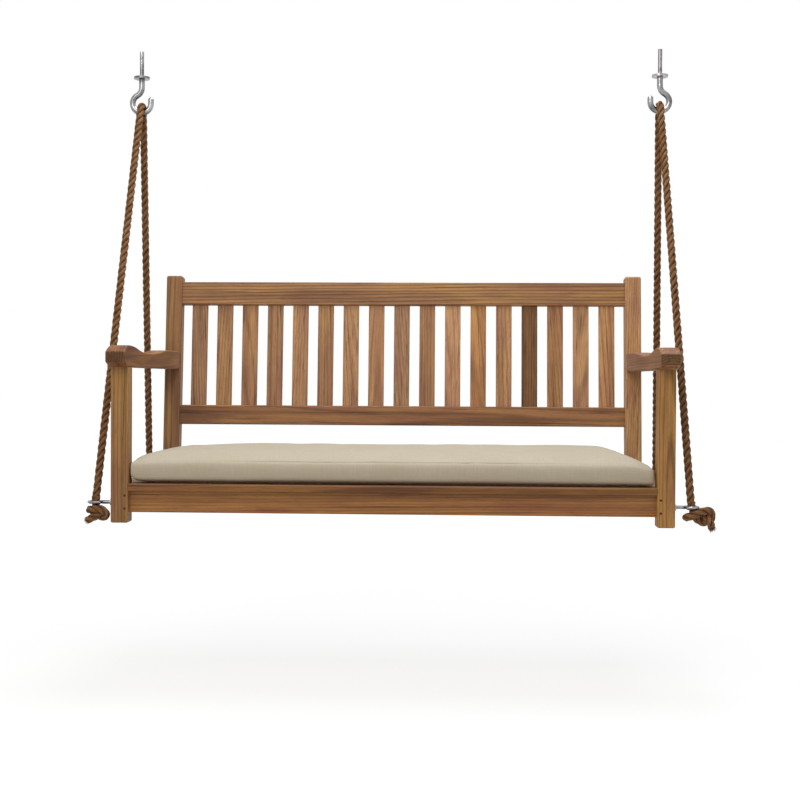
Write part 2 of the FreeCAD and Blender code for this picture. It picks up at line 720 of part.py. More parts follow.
def rope_slant(end):
    """How far that run leans from upright, in the rope's own plane."""
    reach = f"({rope_ways[end]} * {rope_reaches[end]})"
    return f"(atan({reach} / {rope_fall}) - atan({rope_turn} / {rope_run(end)}))"


def rope_point(end, run):
    """A point of the rope in its own plane: so far down the straight run to one eye."""
    slant = rope_slant(end)
    across = f"({rope_ways[end]} * ({rope_turn} * cos({slant}) + ({run}) * sin({slant})))"
    up = f"({rope_turn} * sin({slant}) - ({run}) * cos({slant}))"
    return across, up


def rope(side, hand):
    """One rope: from the front eye up over the hook and down to the rear eye."""
    body = new_body(f"rope_{side}")
    ends = {end: rope_point(end, f"{rope_run(end)} + rope_below_eye") for end in rope_ways}
    corners = [ends["front"], rope_point("front", "0"), rope_point("rear", "0"), ends["rear"]]
    path = outline(body, "YZ_Plane", f"rope_path_{side}", corners, {1: (rope_turn, -1)}, closed=False)
    section = round_profile(body, "XY_Plane", f"rope_section_{side}", "rope_diameter / 2")
    section.AttachmentOffset = FreeCAD.Placement(FreeCAD.Vector(), FreeCAD.Rotation(about_x, right_angle))
    section.setExpression(".AttachmentOffset.Base.y", cells(ends["front"][0]))
    section.setExpression(".AttachmentOffset.Base.z", cells(ends["front"][1]))
    section.setExpression(".AttachmentOffset.Rotation.Angle", cells(f"-{rope_slant('front')}"))
    document.recompute()
    pipe = body.newObject("PartDesign::AdditivePipe", f"rope_pipe_{side}")
    pipe.Profile = section
    pipe.Spine = (path, [])
    move(body, f"{hand} * hook_span / 2", "0", f"-{hinge_depth}")
    turn(body, about_y, f"{-hand} * {rope_lean}")
    return path


def knot(side, hand, end):
    """The stopper knot under an eye: two crossed turns round the rope and a short tail."""
    body = new_body(f"knot_{end}_{side}")
    way = rope_ways[end]
    slant = rope_slant(end)
    upper = f"((eye_wire / 2 + knot_clearance + rope_diameter / 2) / cos({slant}) - rope_below_eye)"
    lower = f"({upper} + knot_turn_pitch)"
    core = body.newObject("PartDesign::AdditiveCylinder", "core")
    bind(core, Radius="rope_diameter / 2", Height=f"{lower} + rope_diameter / 4")
    turn(core, about_x, f"2 * {right_angle} * 1 deg + {way} * {slant}")
    turns = [
        ("upper_turn", upper, "0", "0"),
        ("lower_turn", lower, f"{hand} * knot_turn_shift", f"{hand} * knot_turn_tilt"),
    ]
    for name, down, shift, tilt in turns:
        ring = body.newObject("PartDesign::AdditiveTorus", name)
        bind(ring, Radius1="knot_turn_radius", Radius2="rope_diameter / 2")
        move(ring, shift, f"{way} * {down} * sin({slant})", f"-{down} * cos({slant})")
        turn(ring, about_y, tilt)
    tail = body.newObject("PartDesign::AdditiveCylinder", "tail")
    bind(tail, Radius="rope_diameter / 2", Height="knot_tail_length")
    move(tail, "0", f"{way} * {lower} * sin({slant})", f"-{lower} * cos({slant})")
    turn(tail, about_y, f"{hand} * ({right_angle} + knot_tail_dip)")
    across, up = rope_point(end, f"{rope_run(end)} + rope_below_eye")
    move(body, f"{hand} * (hook_span / 2 - {up} * sin({rope_lean}))", across,
         f"{up} * cos({rope_lean}) - {hinge_depth}")
    turn(body, about_y, f"{-hand} * {rope_lean}")


# Ceiling hooks

def ceiling_hook(side, hand):
    """A screw hook: a stud into the joist, a flange on the ceiling and a bowl that opens inwards."""
    body = new_body(f"ceiling_hook_{side}")
    neck_end = "(hook_flange + hook_neck)"
    bend = "acos(hook_bend / (hook_bend + hook_bowl))"
    bowl_depth = f"({neck_end} + (hook_bend + hook_bowl) * sin({bend}))"
    corners = [
        ("0", "0"),
        ("0", f"-{neck_end}"),
        (f"{hand} * hook_bend * (1 - cos({bend}))", f"-{neck_end} - hook_bend * sin({bend})"),
        ("0", f"-{bowl_depth} - hook_bowl"),
        (f"{-hand} * hook_bowl", f"-{bowl_depth}"),
        (f"{-hand} * hook_bowl", f"-{bowl_depth} + hook_lip"),
    ]
    arcs = {1: ("hook_bend", hand), 2: ("hook_bowl", -hand), 3: ("hook_bowl", -hand)}
    path = outline(body, "XZ_Plane", f"hook_path_{side}", corners, arcs, closed=False)
    section = round_profile(body, "XY_Plane", f"hook_section_{side}", "hook_wire / 2")
    document.recompute()
    pipe = body.newObject("PartDesign::AdditivePipe", f"hook_pipe_{side}")
    pipe.Profile = section
    pipe.Spine = (path, [])
    document.recompute()
    tip = body.newObject("PartDesign::AdditiveSphere", "rounded_tip")
    bind(tip, Radius="hook_wire / 2")
    move(tip, f"{-hand} * hook_bowl", "0", f"-{bowl_depth} + hook_lip")
    flange = body.newObject("PartDesign::AdditiveCylinder", "flange")
    bind(flange, Radius="hook_flange_diameter / 2", Height="hook_flange")
    move(flange, "0", "0", "-hook_flange")
    stud = body.newObject("PartDesign::AdditiveCylinder", "stud")
    bind(stud, Radius="stud_diameter / 2", Height="stud_length")
    move(body, f"{hand} * hook_span / 2", "0", "0")


# Seat cushion

cushion_width = f"(2 * ({leg_inner} - cushion_side_gap))"
cushion_depth = f"({post_face(seat_top)} - cushion_setback - cushion_rear_gap)"


def cushion_section(body, order, height_share, inset_share):
    """The cushion's outline at one height: long sides drawn in a little between rounded corners."""
    inset = f"({inset_share} * {cushion_depth})"
    half_long = f"({cushion_width} / 2 - {inset})"
    half_deep = f"({cushion_depth} / 2 - {inset})"
    corner = f"(cushion_corner * (1 - 2 * {inset_share}))"
    corners = [
        (f"-{half_long} + {corner}", f"-{half_deep}"), (f"{half_long} - {corner}", f"-{half_deep}"),
        (half_long, f"-{half_deep} + {corner}"), (half_long, f"{half_deep} - {corner}"),
        (f"{half_long} - {corner}", half_deep), (f"-{half_long} + {corner}", half_deep),
        (f"-{half_long}", f"{half_deep} - {corner}"), (f"-{half_long}", f"-{half_deep} + {corner}"),
    ]
    long_side = f"({half_long} - {corner})"
    short_side = f"({half_deep} - {corner})"
    long_radius = f"(({long_side} ^ 2 + cushion_draw ^ 2) / (2 * cushion_draw))"
    short_draw = f"(cushion_draw * {cushion_depth} / {cushion_width})"
    short_radius = f"(({short_side} ^ 2 + {short_draw} ^ 2) / (2 * {short_draw}))"
    arcs = {edge: (corner, 1) for edge in (1, 3, 5, 7)}
    arcs.update({0: (long_radius, -1), 4: (long_radius, -1), 2: (short_radius, -1), 6: (short_radius, -1)})
    section = outline(body, "XY_Plane", f"cushion_section_{order:02d}", corners, arcs)
    section.setExpression(".AttachmentOffset.Base.z", cells(f"{height_share} * cushion_height"))
    return section


def cushion():
    """The seat cushion: a crowned top, sides that draw in between its seams, rounded underneath."""
    body = new_body("seat_cushion")
    shares = zip(cushion_height_shares, cushion_inset_shares)
    sections = [cushion_section(body, order, *share) for order, share in enumerate(shares)]
    document.recompute()
    loft = body.newObject("PartDesign::AdditiveLoft", "filling")
    loft.Profile = sections[0]
    loft.Sections = sections[1:]
    loft.Ruled = True
    middle = f"cushion_setback + {cushion_depth} / 2"
    move(body, "0", bench_y(middle), bench_z(f"{seat_top} + cushion_clearance"))


# The whole swing

ropes = {}
for side, hand in sides.items():
    front_leg(side, hand)
    rear_post(side, hand)
    side_rail(side, hand)
    arm(side, hand)
    for level in peg_heights:
        apron_peg(side, hand, level)
    screw_eye(f"front_{side}", hand, "eye_front_setback", "frame_width / 2")
    screw_eye(f"rear_{side}", hand, post_middle("eye_height"), "frame_width / 2")
    ropes[side] = rope(side, hand)
    for end in rope_ways:
        knot(side, hand, end)
    ceiling_hook(side, hand)
back_rail("top_rail", "-cut_overrun")
back_rail("lower_rail", "lower_rail_height - slat_housing - joint_gap")
for order in range(int(number("slat_count"))):
    back_slat(order)
apron()
rear_rail()
centre_bearer()
seat_slats()
cushion()
document.recompute()

for item in document.Objects:
    if {"Invalid", "Error"} & set(item.State):
        raise RuntimeError(f"{item.Label} failed: {item.State}")
for body in sub_parts:
    if body.Shape.isNull() or not body.Shape.isValid():
        raise RuntimeError(f"{body.Label} has no valid shape")
    if len(body.Shape.Solids) != 1:
        raise RuntimeError(f"{body.Label} has {len(body.Shape.Solids)} solids")

for side, path in ropes.items():
    run = path.Shape.Length
    section = math.pi * number("rope_diameter / 2") ** 2
    share = document.getObject(f"rope_{side}").Shape.Volume / (run * section)
    print(f"rope_{side}: {run:.1f} long, turn radius {number(rope_turn):.2f}, volume share {share:.4f}")

os.makedirs("parts", exist_ok=True)
for body in sub_parts:
    body.Shape.exportStep(f"parts/{body.Label}.step")
print(len(sub_parts), "sub-parts written")
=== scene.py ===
"""The looks of a teak garden swing on ropes: its wood, steel, rope and seat cushion, in metres."""
import math

import bmesh
import bpy
import numpy as np
from mathutils import Matrix, Vector, noise


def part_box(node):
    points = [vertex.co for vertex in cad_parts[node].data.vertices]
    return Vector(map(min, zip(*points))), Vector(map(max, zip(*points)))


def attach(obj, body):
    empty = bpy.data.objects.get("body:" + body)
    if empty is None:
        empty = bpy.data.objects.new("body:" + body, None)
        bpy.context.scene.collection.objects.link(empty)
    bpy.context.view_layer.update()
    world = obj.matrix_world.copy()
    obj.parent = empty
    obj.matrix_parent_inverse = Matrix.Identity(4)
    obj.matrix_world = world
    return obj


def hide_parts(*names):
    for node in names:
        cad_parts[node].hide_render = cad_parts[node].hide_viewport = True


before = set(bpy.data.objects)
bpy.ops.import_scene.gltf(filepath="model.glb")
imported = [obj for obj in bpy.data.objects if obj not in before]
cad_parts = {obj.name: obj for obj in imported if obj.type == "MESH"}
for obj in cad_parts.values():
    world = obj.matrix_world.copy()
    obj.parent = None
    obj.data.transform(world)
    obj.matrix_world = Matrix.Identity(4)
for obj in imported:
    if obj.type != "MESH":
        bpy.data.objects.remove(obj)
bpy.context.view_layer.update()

sides = {"left": -1, "right": 1}
ends = {"front": -1, "rear": 1}
mm = 0.001

# The view: a camera in front of the swing, a little to the right and level with the arms

picture_size = 800
focal_length = 1319.2
camera_place = Vector((0.13922, -3.13755, -0.72237))
camera_yaw = -0.0421356
camera_pitch = 0.0146880
camera_roll = 0.0054684

# The floor, whiter to the eye further out, and how bright the surround is

floor_height = -1.42
floor_reach = 12
floor_white = 1.06
floor_whiteness = 0.80
floor_fade_start, floor_fade_end = 1.6, 2.8
surround_on_object = 0.30
surround_to_eye = 1.0

# The back leans by this much, and so does the grain of what is in it

back_rake = math.radians(5.2)

# Ropes: each folds over its hook, in a plane that leans out from the hook to the eyes.
# The route is back and up in that plane, from the hook's wire.

rope_thickness = 16 * mm
rope_lay = 52 * mm
rope_strands = 3
strand_radius = 4.7 * mm
strand_offset = 4.0 * mm
strand_yarns = 7
yarn_corners = 3
yarn_relief_share = 0.1
rope_step = 2.4 * mm
hook_reach, hook_height = 0.615, -0.085105
eye_reach, eye_height = 0.646, -0.991105
hook_wire = Vector((hook_reach, 0, hook_height))
rope_lean = math.atan((eye_reach - hook_reach) / (hook_height - eye_height))
rope_route = [
    (-0.2871, -0.9104), (-0.2597, -0.8184), (-0.0421, -0.0876),
    (-0.0135, 0.0083), (-0.0075, 0.0140), (0.0005, 0.0158), (0.0084, 0.0135), (0.0140, 0.0074),
    (0.0364, -0.0901), (0.2035, -0.8169), (0.2250, -0.9104),
]

# Knots: the rope's way below an eye, from the ring's middle: to the right, back and up

loose_knot = [
    (0, 0, 0.012), (0.001, 0, -0.008), (0.010, 0.004, -0.028), (0.028, 0.008, -0.040),
    (0.045, 0.004, -0.030), (0.049, 0, -0.010), (0.036, -0.004, 0.001), (0.017, -0.013, -0.010),
    (-0.002, -0.018, -0.018), (-0.018, -0.006, -0.022), (-0.012, 0.012, -0.024), (0.008, 0.020, -0.020),
    (0.024, 0.014, -0.013), (0.034, 0.001, -0.015), (0.039, -0.013, -0.027), (0.042, -0.014, -0.043),
]
tight_knot = [
    (0, 0, 0.012), (0, 0, -0.008), (0.006, 0.006, -0.024), (0.016, 0.006, -0.036),
    (0.025, -0.002, -0.028), (0.023, -0.012, -0.015), (0.010, -0.017, -0.013), (-0.008, -0.014, -0.014),
    (-0.018, 0, -0.017), (-0.010, 0.014, -0.022), (0.006, 0.019, -0.024), (0.015, 0.010, -0.020),
    (0.012, -0.006, -0.026), (0.003, -0.016, -0.032), (-0.008, -0.016, -0.038), (-0.015, -0.013, -0.038),
]
knot_routes = {
    ("front", "left"): (tight_knot, 1), ("front", "right"): (loose_knot, 1),
    ("rear", "left"): (tight_knot, 1), ("rear", "right"): (tight_knot, -1),
}
knot_step = 2.0 * mm
knot_turn_gap = 0.86 * rope_thickness
knot_neighbour_reach = 1.5 * rope_thickness
knot_held_points = 3
knot_rounds = 160
knot_push = 0.12
knot_smoothing = 0.30
knot_longest_move = 1 * mm

# Fibres: those that stand off the ropes, below the hooks, and those of a tail's frayed end

stray_fibre_density = 3500.0
stray_fibre_length = 7 * mm
stray_fibre_thickness = 0.11 * mm
stray_fibre_top = -0.14
stray_fibre_seed = 5
tail_fibres = 150
tail_reach = 0.42 * rope_thickness
tail_lengths_mm = (3, 9)
tail_thicknesses_mm = (0.25, 0.6)
tail_most_droop = 0.35
tail_rings = 5
tail_corners = 3
tail_seed = 20

# Plugs over the seat's screws, on the front slat a little further in

plug_radius = 5 * mm
plug_height = 0.5 * mm
plug_heart = Vector((0.02, 0.1, 0))
plug_tone = (0.497, 1.0, 0.8, 0.4)
plug_ring_count = 500
front_plug_share = 0.93

# Seat cushion: its plan, the swell of its filling, and its ends

cushion_cell = 9 * mm
cushion_left_corner = 5 * mm
cushion_right_corner = 14 * mm
cushion_corner_droop = 4 * mm
cushion_droop_reach = 40 * mm
cushion_swell = 3 * mm
cushion_furthest_swell = 1.6 * cushion_swell
cushion_filling_steps = 20
cushion_rear_swell = 0.19
cushion_end_allowance = 5.5 * mm
cushion_end_lift = 2 * mm
cushion_lift_reach = 14 * mm
cushion_end_lean = 4 * mm
cushion_lean_start = 0.6
cushion_crown = 14 * mm
cushion_crown_slope = 48 * mm
cushion_rear_crown = 0.5

# Its side from the foot to the top seam: heights, and how far it draws in there

cushion_side = [(0, 0.034), (0.0045, 0.014), (0.0075, 0.005), (0.014, 0.0005), (0.030, 0), (0.040, 0.001),
                (0.047, 0.0035), (0.050, 0.0065), (0.052, 0.0105)]
cushion_held_height = 8 * mm

# Its seams, by their level in the side and how tight they are, tighter away from the ends

seam_row = 2.2 * mm
seam_depth = 3.2 * mm
seam_levels = {2: 0.35, -1: 0.9}
seam_fade_start, seam_fade_end = 0.14, 0.34
seam_least = 0.2
seam_pucker_scale = 40

# Its dents: their middles, to the right and back, their reaches that way, and their depth

cushion_dents = [
    (0.568, 0.03, 0.037, 0.20, 22 * mm),
    (0.56, 0.20, 0.08, 0.09, 11 * mm),
    (0.568, -0.27, 0.02, 0.07, 3 * mm),
    (-0.03, 0.20, 0.05, 0.05, 2 * mm),
    (0.09, 0.20, 0.05, 0.05, 2 * mm),
    (-0.51, 0.12, 0.10, 0.10, 6 * mm),
    (0.42, -0.26, 0.05, 0.05, 1.5 * mm),
]
full_dent_height = 0.05
cushion_waves = [(14, 1.6 * mm), (45, 0.5 * mm)]


# Nodes of a tree

def feed(tree, node, name, value):
    """Sets an input, given by its name or number, or joins an output to it."""
    if isinstance(value, bpy.types.NodeSocket):
        tree.links.new(value, node.inputs[name])
    else:
        node.inputs[name].default_value = value


def join(tree, kind, inputs=None, **settings):
    """A node of a tree with its settings, and its inputs set or joined."""
    node = tree.nodes.new(kind)
    for name, value in settings.items():
        setattr(node, name, value)
    for name, value in (inputs or {}).items():
        feed(tree, node, name, value)
    return node


# Materials

class Finish:
    """A material whose nodes are added and joined one by one."""

    def __init__(self, name):
        self.material = bpy.data.materials.new(name)
        self.material.use_nodes = True
        self.tree = self.material.node_tree
        self.shader = self.tree.nodes["Principled BSDF"]

    def add(self, kind, inputs=None, **settings):
        """A shader node with its settings, and its inputs set or joined."""
        return join(self.tree, f"ShaderNode{kind}", inputs, **settings)

    def shade(self, **inputs):
        """Sets the surface shader's inputs, named with underscores for spaces."""
        for name, value in inputs.items():
            feed(self.tree, self.shader, name.replace("_", " "), value)

    def ramp(self, factor, *stops):
        """A colour ramp through stops of a position and a colour."""
        node = self.add("ValToRGB", {"Fac": factor})
        while len(node.color_ramp.elements) < len(stops):
            node.color_ramp.elements.new(1)
        for element, (position, colour) in zip(node.color_ramp.elements, stops):
            element.position = position
            element.color = (*colour, 1)
        return node.outputs["Color"]

    def blend(self, kind, share, first, second):
        """Two colours mixed in a given way."""
        node = self.add("Mix", {0: share, 6: first, 7: second}, data_type="RGBA", blend_type=kind)
        return node.outputs[2]

    def math(self, operation, first, second=0.0, clamp=False):
        """A sum on one or two values."""
        node = self.add("Math", {0: first, 1: second}, operation=operation, use_clamp=clamp)
        return node.outputs[0]

    def spread(self, value, low, high, new_low=0.0, new_high=1.0):
        """A value's range moved to another."""
        node = self.add("MapRange", {"Value": value, "From Min": low, "From Max": high,
                                     "To Min": new_low, "To Max": new_high})
        return node.outputs["Result"]

    def noise(self, vector, scale, detail=4.0, roughness=0.6):
        """A noise pattern on some coordinates."""
        node = self.add("TexNoise", {"Vector": vector, "Scale": scale, "Detail": detail,
                                     "Roughness": roughness})
        return node.outputs["Fac"]

    def scaled(self, vector, scale):
        """Coordinates drawn out by a scale of their own on each axis."""
        return self.add("Mapping", {"Vector": vector, "Scale": scale}).outputs["Vector"]

    def bump(self, height, strength, distance):
        """Relief from a height pattern."""
        node = self.add("Bump", {"Height": height, "Strength": strength, "Distance": distance})
        self.shade(Normal=node.outputs["Normal"])


def linear(red, green, blue):
    """A colour of the eye's scale from 0 to 255, as the shader takes it."""
    def one(value):
        share = value / 255
        return share / 12.92 if share <= 0.04045 else ((share + 0.055) / 1.055) ** 2.4
    return one(red), one(green), one(blue)


grain_turns = {
    "x": (0, math.pi / 2, 0),
    "y": (-math.pi / 2, 0, 0),
    "z": (0, 0, 0),
    "back": (-back_rake, 0, 0),
}
teak_rosy = linear(149, 106, 78)
teak_mid = linear(163, 121, 84)
teak_golden = linear(176, 134, 88)
teak_dark = linear(70, 44, 26)
teak_end_tint = linear(180, 186, 176)

# How close the wood's patterns are to the metre: twice across the grain and once along it

drift_scale = (22, 22, 4)
streak_scale = (60, 60, 1.6)
line_scale = (210, 210, 2.0)
fibre_scale = (640, 640, 9)
pore_scale = (900, 900, 42)


def teak(name, grain, heart, order, tone, rings_to_metre, slope):
    """Oiled teak: growth rings about a heart beside the piece, dark lines, fibres and open pores."""
    hue, richness, depth, streak = tone
    finish = Finish(name)
    place = finish.add("TexCoord")
    tilt = (slope * math.sin(1.7 * order), slope * math.cos(2.3 * order), 0)
    turn = [angle + lean for angle, lean in zip(grain_turns[grain], tilt)]
    board = finish.add("Mapping", {"Vector": place.outputs["Object"], "Location": heart, "Rotation": turn},
                       vector_type="TEXTURE").outputs["Vector"]
    rings = finish.add("TexWave", {"Vector": finish.scaled(board, (1, 1, 0.09)),
                                   "Scale": rings_to_metre * math.pi / 10, "Distortion": 6.0, "Detail": 2.0,
                                   "Detail Scale": 0.45, "Detail Roughness": 0.5},
                       wave_type="RINGS", rings_direction="Z", wave_profile="SIN").outputs["Fac"]
    drift = finish.noise(finish.scaled(board, drift_scale), 1.0, 3.0, 0.6)
    streaks = finish.noise(finish.scaled(board, streak_scale), 1.0, 3.0, 0.6)
    lines = finish.noise(finish.scaled(board, line_scale), 1.0, 4.0, 0.6)
    fibres = finish.noise(finish.scaled(board, fibre_scale), 1.0, 3.0, 0.7)
    pores = finish.noise(finish.scaled(board, pore_scale), 1.0, 1.0, 0.5)
    colour = finish.ramp(drift, (0.34, teak_rosy), (0.5, teak_mid), (0.66, teak_golden))
    colour = finish.blend("MULTIPLY", 1.0, colour, finish.spread(rings, 0.62, 1.0, 1.05, 1 - 0.75 * streak))
    broad = finish.math("MULTIPLY", finish.spread(streaks, 0.50, 0.80), 0.6 * streak, True)
    colour = finish.blend("MIX", broad, colour, (*teak_dark, 1))
    thin = finish.math("MULTIPLY", finish.spread(lines, 0.58, 0.66), 0.7, True)
    colour = finish.blend("MIX", thin, colour, (*teak_dark, 1))
    colour = finish.blend("MULTIPLY", 1.0, colour, finish.spread(fibres, 0.3, 0.7, 0.80, 1.17))
    colour = finish.blend("MULTIPLY", 1.0, colour, finish.spread(streaks, 0.3, 0.7, 1.18, 0.84))
    pits = finish.spread(pores, 0.60, 0.72)
    colour = finish.blend("MIX", finish.math("MULTIPLY", pits, 0.35, True), colour, (*teak_dark, 1))
    along = Vector((0, 0, 1))
    along.rotate(Matrix.Rotation(turn[1], 3, "Y") @ Matrix.Rotation(turn[0], 3, "X"))
    facing = finish.add("VectorMath", {0: place.outputs["Normal"], 1: along}, operation="DOT_PRODUCT")
    cut_end = finish.spread(finish.math("ABSOLUTE", facing.outputs["Value"]), 0.6, 0.95)
    colour = finish.blend("MULTIPLY", finish.math("MULTIPLY", cut_end, 0.9, True), colour,
                          (*teak_end_tint, 1))
    ring_lines = finish.math("MULTIPLY", finish.spread(rings, 0.5, 1.0), cut_end)
    colour = finish.blend("MIX", finish.math("MULTIPLY", ring_lines, 0.6, True), colour, (*teak_dark, 1))
    toned = finish.add("HueSaturation", {"Hue": hue, "Saturation": richness, "Value": depth,
                                         "Color": colour})
    finish.shade(Base_Color=toned.outputs["Color"], Roughness=finish.spread(fibres, 0.2, 0.8, 0.46, 0.66),
                 Specular_IOR_Level=0.3)
    relief = finish.math("SUBTRACT", finish.math("MULTIPLY", fibres, 0.6), pits)
    finish.bump(relief, 0.35, 0.25 * mm)
    return finish.material


def dark_peg():
    """The end grain of a peg, darkened by glue and oil."""
    finish = Finish("peg_end_grain")
    place = finish.add("TexCoord").outputs["Object"]
    grain = finish.noise(place, 900.0, 3.0)
    finish.shade(Base_Color=finish.ramp(grain, (0.3, linear(58, 36, 22)), (0.7, linear(94, 60, 37))),
                 Roughness=0.8, Specular_IOR_Level=0.05)
    finish.bump(grain, 0.4, 0.2 * mm)
    return finish.material


def polished_steel():
    """Stainless steel with the fine marks of handling."""
    finish = Finish("polished_stainless")
    place = finish.add("TexCoord").outputs["Object"]
    marks = finish.noise(finish.scaled(place, (260, 260, 900)), 1.0, 4.0, 0.7)
    tint = finish.ramp(finish.noise(place, 35.0), (0.35, linear(96, 96, 99)), (0.65, linear(172, 172, 175)))
    finish.shade(Base_Color=tint, Metallic=1.0, Roughness=finish.spread(marks, 0.3, 0.75, 0.16, 0.34))
    finish.bump(marks, 0.08, 0.1 * mm)
    return finish.material


def rope_fibre():
    """Natural fibre, in yarns along each strand, with painted shade in the hollows between them."""
    finish = Finish("natural_fibre")
    lie = finish.add("UVMap", uv_map="lie").outputs["UV"]
    place = finish.add("TexCoord").outputs["Object"]
    yarns = finish.noise(finish.scaled(lie, (34, 1.2, 1)), 1.0, 4.0, 0.65)
    patches = finish.noise(place, 28.0, 3.0)
    hollow = finish.add("Attribute", attribute_name="hollow").outputs["Fac"]
    colour = finish.ramp(yarns, (0.28, linear(82, 54, 33)), (0.5, linear(138, 100, 66)),
                         (0.72, linear(206, 164, 119)))
    colour = finish.blend("MULTIPLY", finish.spread(patches, 0.3, 0.7, 0.0, 0.55), colour,
                          (*linear(206, 190, 172), 1))
    # painted shade in the hollows between the strands, broken up by noise
    gap = finish.spread(hollow, 0.1, 0.42)
    shade_breakup = finish.spread(finish.noise(place, 110.0, 2.0), 0.3, 0.7, 0.3, 1.0)
    colour = finish.blend("MULTIPLY", finish.math("MULTIPLY", gap, shade_breakup, True), colour,
                          (*linear(104, 78, 60), 1))
    finish.shade(Base_Color=colour, Roughness=0.88, Specular_IOR_Level=0.2)
    finish.bump(yarns, 0.6, 0.5 * mm)
    return finish.material


def canvas():
    """Beige canvas: a plain weave with slubs, and painted shade along the seams' grooves."""
    finish = Finish("beige_canvas")
    lie = finish.add("UVMap", uv_map="cloth").outputs["UV"]
    place = finish.add("TexCoord").outputs["Object"]
    warp = finish.add("TexWave", {"Vector": lie, "Scale": 420.0, "Distortion": 0.6, "Detail": 1.0},
                      wave_type="BANDS", bands_direction="X")
    weft = finish.add("TexWave", {"Vector": lie, "Scale": 420.0, "Distortion": 0.6, "Detail": 1.0},
                      wave_type="BANDS", bands_direction="Y")
    weave = finish.math("MULTIPLY", warp.outputs["Fac"], weft.outputs["Fac"])
    slubs = finish.math("ADD", finish.noise(finish.scaled(lie, (30, 700, 1)), 1.0, 3.0),
                        finish.noise(finish.scaled(lie, (700, 30, 1)), 1.0, 3.0))
    tone = finish.noise(place, 9.0, 2.0)
    colour = finish.ramp(finish.spread(slubs, 0.6, 1.4), (0.1, linear(176, 167, 147)),
                         (0.9, linear(191, 183, 166)))
    colour = finish.blend("MULTIPLY", finish.spread(tone, 0.3, 0.7, 0.0, 0.35), colour,
                          (*linear(240, 236, 228), 1))
    # painted shade in the seams' grooves, as dark as each seam is drawn in
    seam_shade = finish.add("Attribute", attribute_name="seam").outputs["Fac"]
    colour = finish.blend("MULTIPLY", finish.math("MULTIPLY", seam_shade, 0.7, True), colour,
                          (*linear(150, 136, 116), 1))
    finish.shade(Base_Color=colour, Roughness=0.92, Specular_IOR_Level=0.15, Sheen_Weight=0.15,
                 Sheen_Roughness=0.5)
    finish.bump(finish.math("ADD", weave, finish.math("MULTIPLY", slubs, 0.5)), 0.25, 0.2 * mm)
    return finish.material


# Meshes

def new_piece(name, vertices, faces, material):
    """A piece from plain lists of points and faces."""
    mesh = bpy.data.meshes.new(name)
    mesh.from_pydata([tuple(vertex) for vertex in vertices], [], faces)
    mesh.materials.append(material)
    mesh.polygons.foreach_set("use_smooth", [True] * len(mesh.polygons))
    mesh.update()
    piece = bpy.data.objects.new(name, mesh)
    bpy.context.scene.collection.objects.link(piece)
    return piece


def set_finish(node, material):
    """Gives a solid of the frame its material."""
    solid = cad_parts[node]
    solid.data.materials.clear()
    solid.data.materials.append(material)


# Wood: the tone of each board, as its hue, richness, depth and streaks

plain_tone = (0.5, 1.0, 1.0, 0.4)
wood_tones = {
    "back_lower_rail": (0.493, 1.05, 0.79, 0.5), "seat_apron": (0.496, 1.13, 0.86, 0.33),
    # seat_slat_front is set darker partly for its own tone and partly as painted shade from the cushion
    # over it
    "back_top_rail": (0.499, 1.04, 0.94, 0.66), "seat_slat_front": (0.496, 1.15, 0.62, 0.5),
    # rear_post_right is set lighter than rear_post_left partly for their own tones and partly as painted
    # light falling from the right
    "rear_post_left": (0.502, 1.05, 0.84, 0.45), "rear_post_right": (0.501, 1.0, 1.28, 0.38),
    "front_leg_left": (0.505, 1.08, 0.83, 0.42), "front_leg_right": (0.506, 1.12, 0.98, 0.45),
    "arm_left": (0.49, 1.16, 0.62, 0.4), "arm_right": (0.494, 1.06, 0.76, 0.4),
    "back_slat_01": (0.497, 0.95, 0.90, 0.36), "back_slat_02": (0.498, 1.0, 0.94, 0.38),
    "back_slat_03": (0.497, 1.0, 1.0, 0.36), "back_slat_04": (0.495, 0.98, 0.91, 0.38),
    "back_slat_05": (0.498, 0.97, 1.16, 0.36), "back_slat_06": (0.497, 1.0, 0.97, 0.38),
    "back_slat_07": (0.499, 0.97, 1.15, 0.33), "back_slat_08": (0.498, 0.99, 1.13, 0.35),
    "back_slat_09": (0.498, 0.94, 1.0, 0.38), "back_slat_10": (0.496, 1.0, 0.99, 0.36),
    "back_slat_11": (0.499, 0.95, 1.34, 0.34), "back_slat_12": (0.495, 1.06, 1.14, 0.4),
    "back_slat_13": (0.498, 1.0, 1.18, 0.38), "back_slat_14": (0.494, 1.1, 0.50, 0.45),
    "back_slat_15": (0.496, 1.04, 0.96, 0.38), "back_slat_16": (0.502, 0.97, 1.3, 0.32),
    "back_slat_17": (0.501, 1.02, 1.34, 0.42),
}

# Growth rings to the metre, how far the grain runs off the board, and the way it lies

ring_counts = {"back_lower_rail": 100, "back_top_rail": 120, "back_slat": 140, "arm": 170}
plain_ring_count = 160
grain_slopes = {"back_slat": 0.055, "rear_post": 0.045, "front_leg": 0.022, "arm": 0.03}
plain_grain_slope = 0.012
grain_ways = {"front_leg": "z", "rear_post": "back", "back_slat": "back", "arm": "y", "seat_side": "y",
              "seat_centre": "y"}
heart_turn = 2.4
heart_distance = 0.06
heart_spread = 0.02


def family(node, kinds, plain):
    """What a table gives for the kind of board that a solid is."""
    return next((kind for start, kind in kinds.items() if node.startswith(start)), plain)


def heart_of(node, order):
    """A place for the tree's heart beside a piece, different for each."""
    low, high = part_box(node)
    turn = heart_turn * order
    away = Vector((math.cos(turn), math.sin(turn), math.cos(2 * turn)))
    return (Vector(low) + Vector(high)) / 2 + away * (heart_distance + heart_spread * math.sin(order))


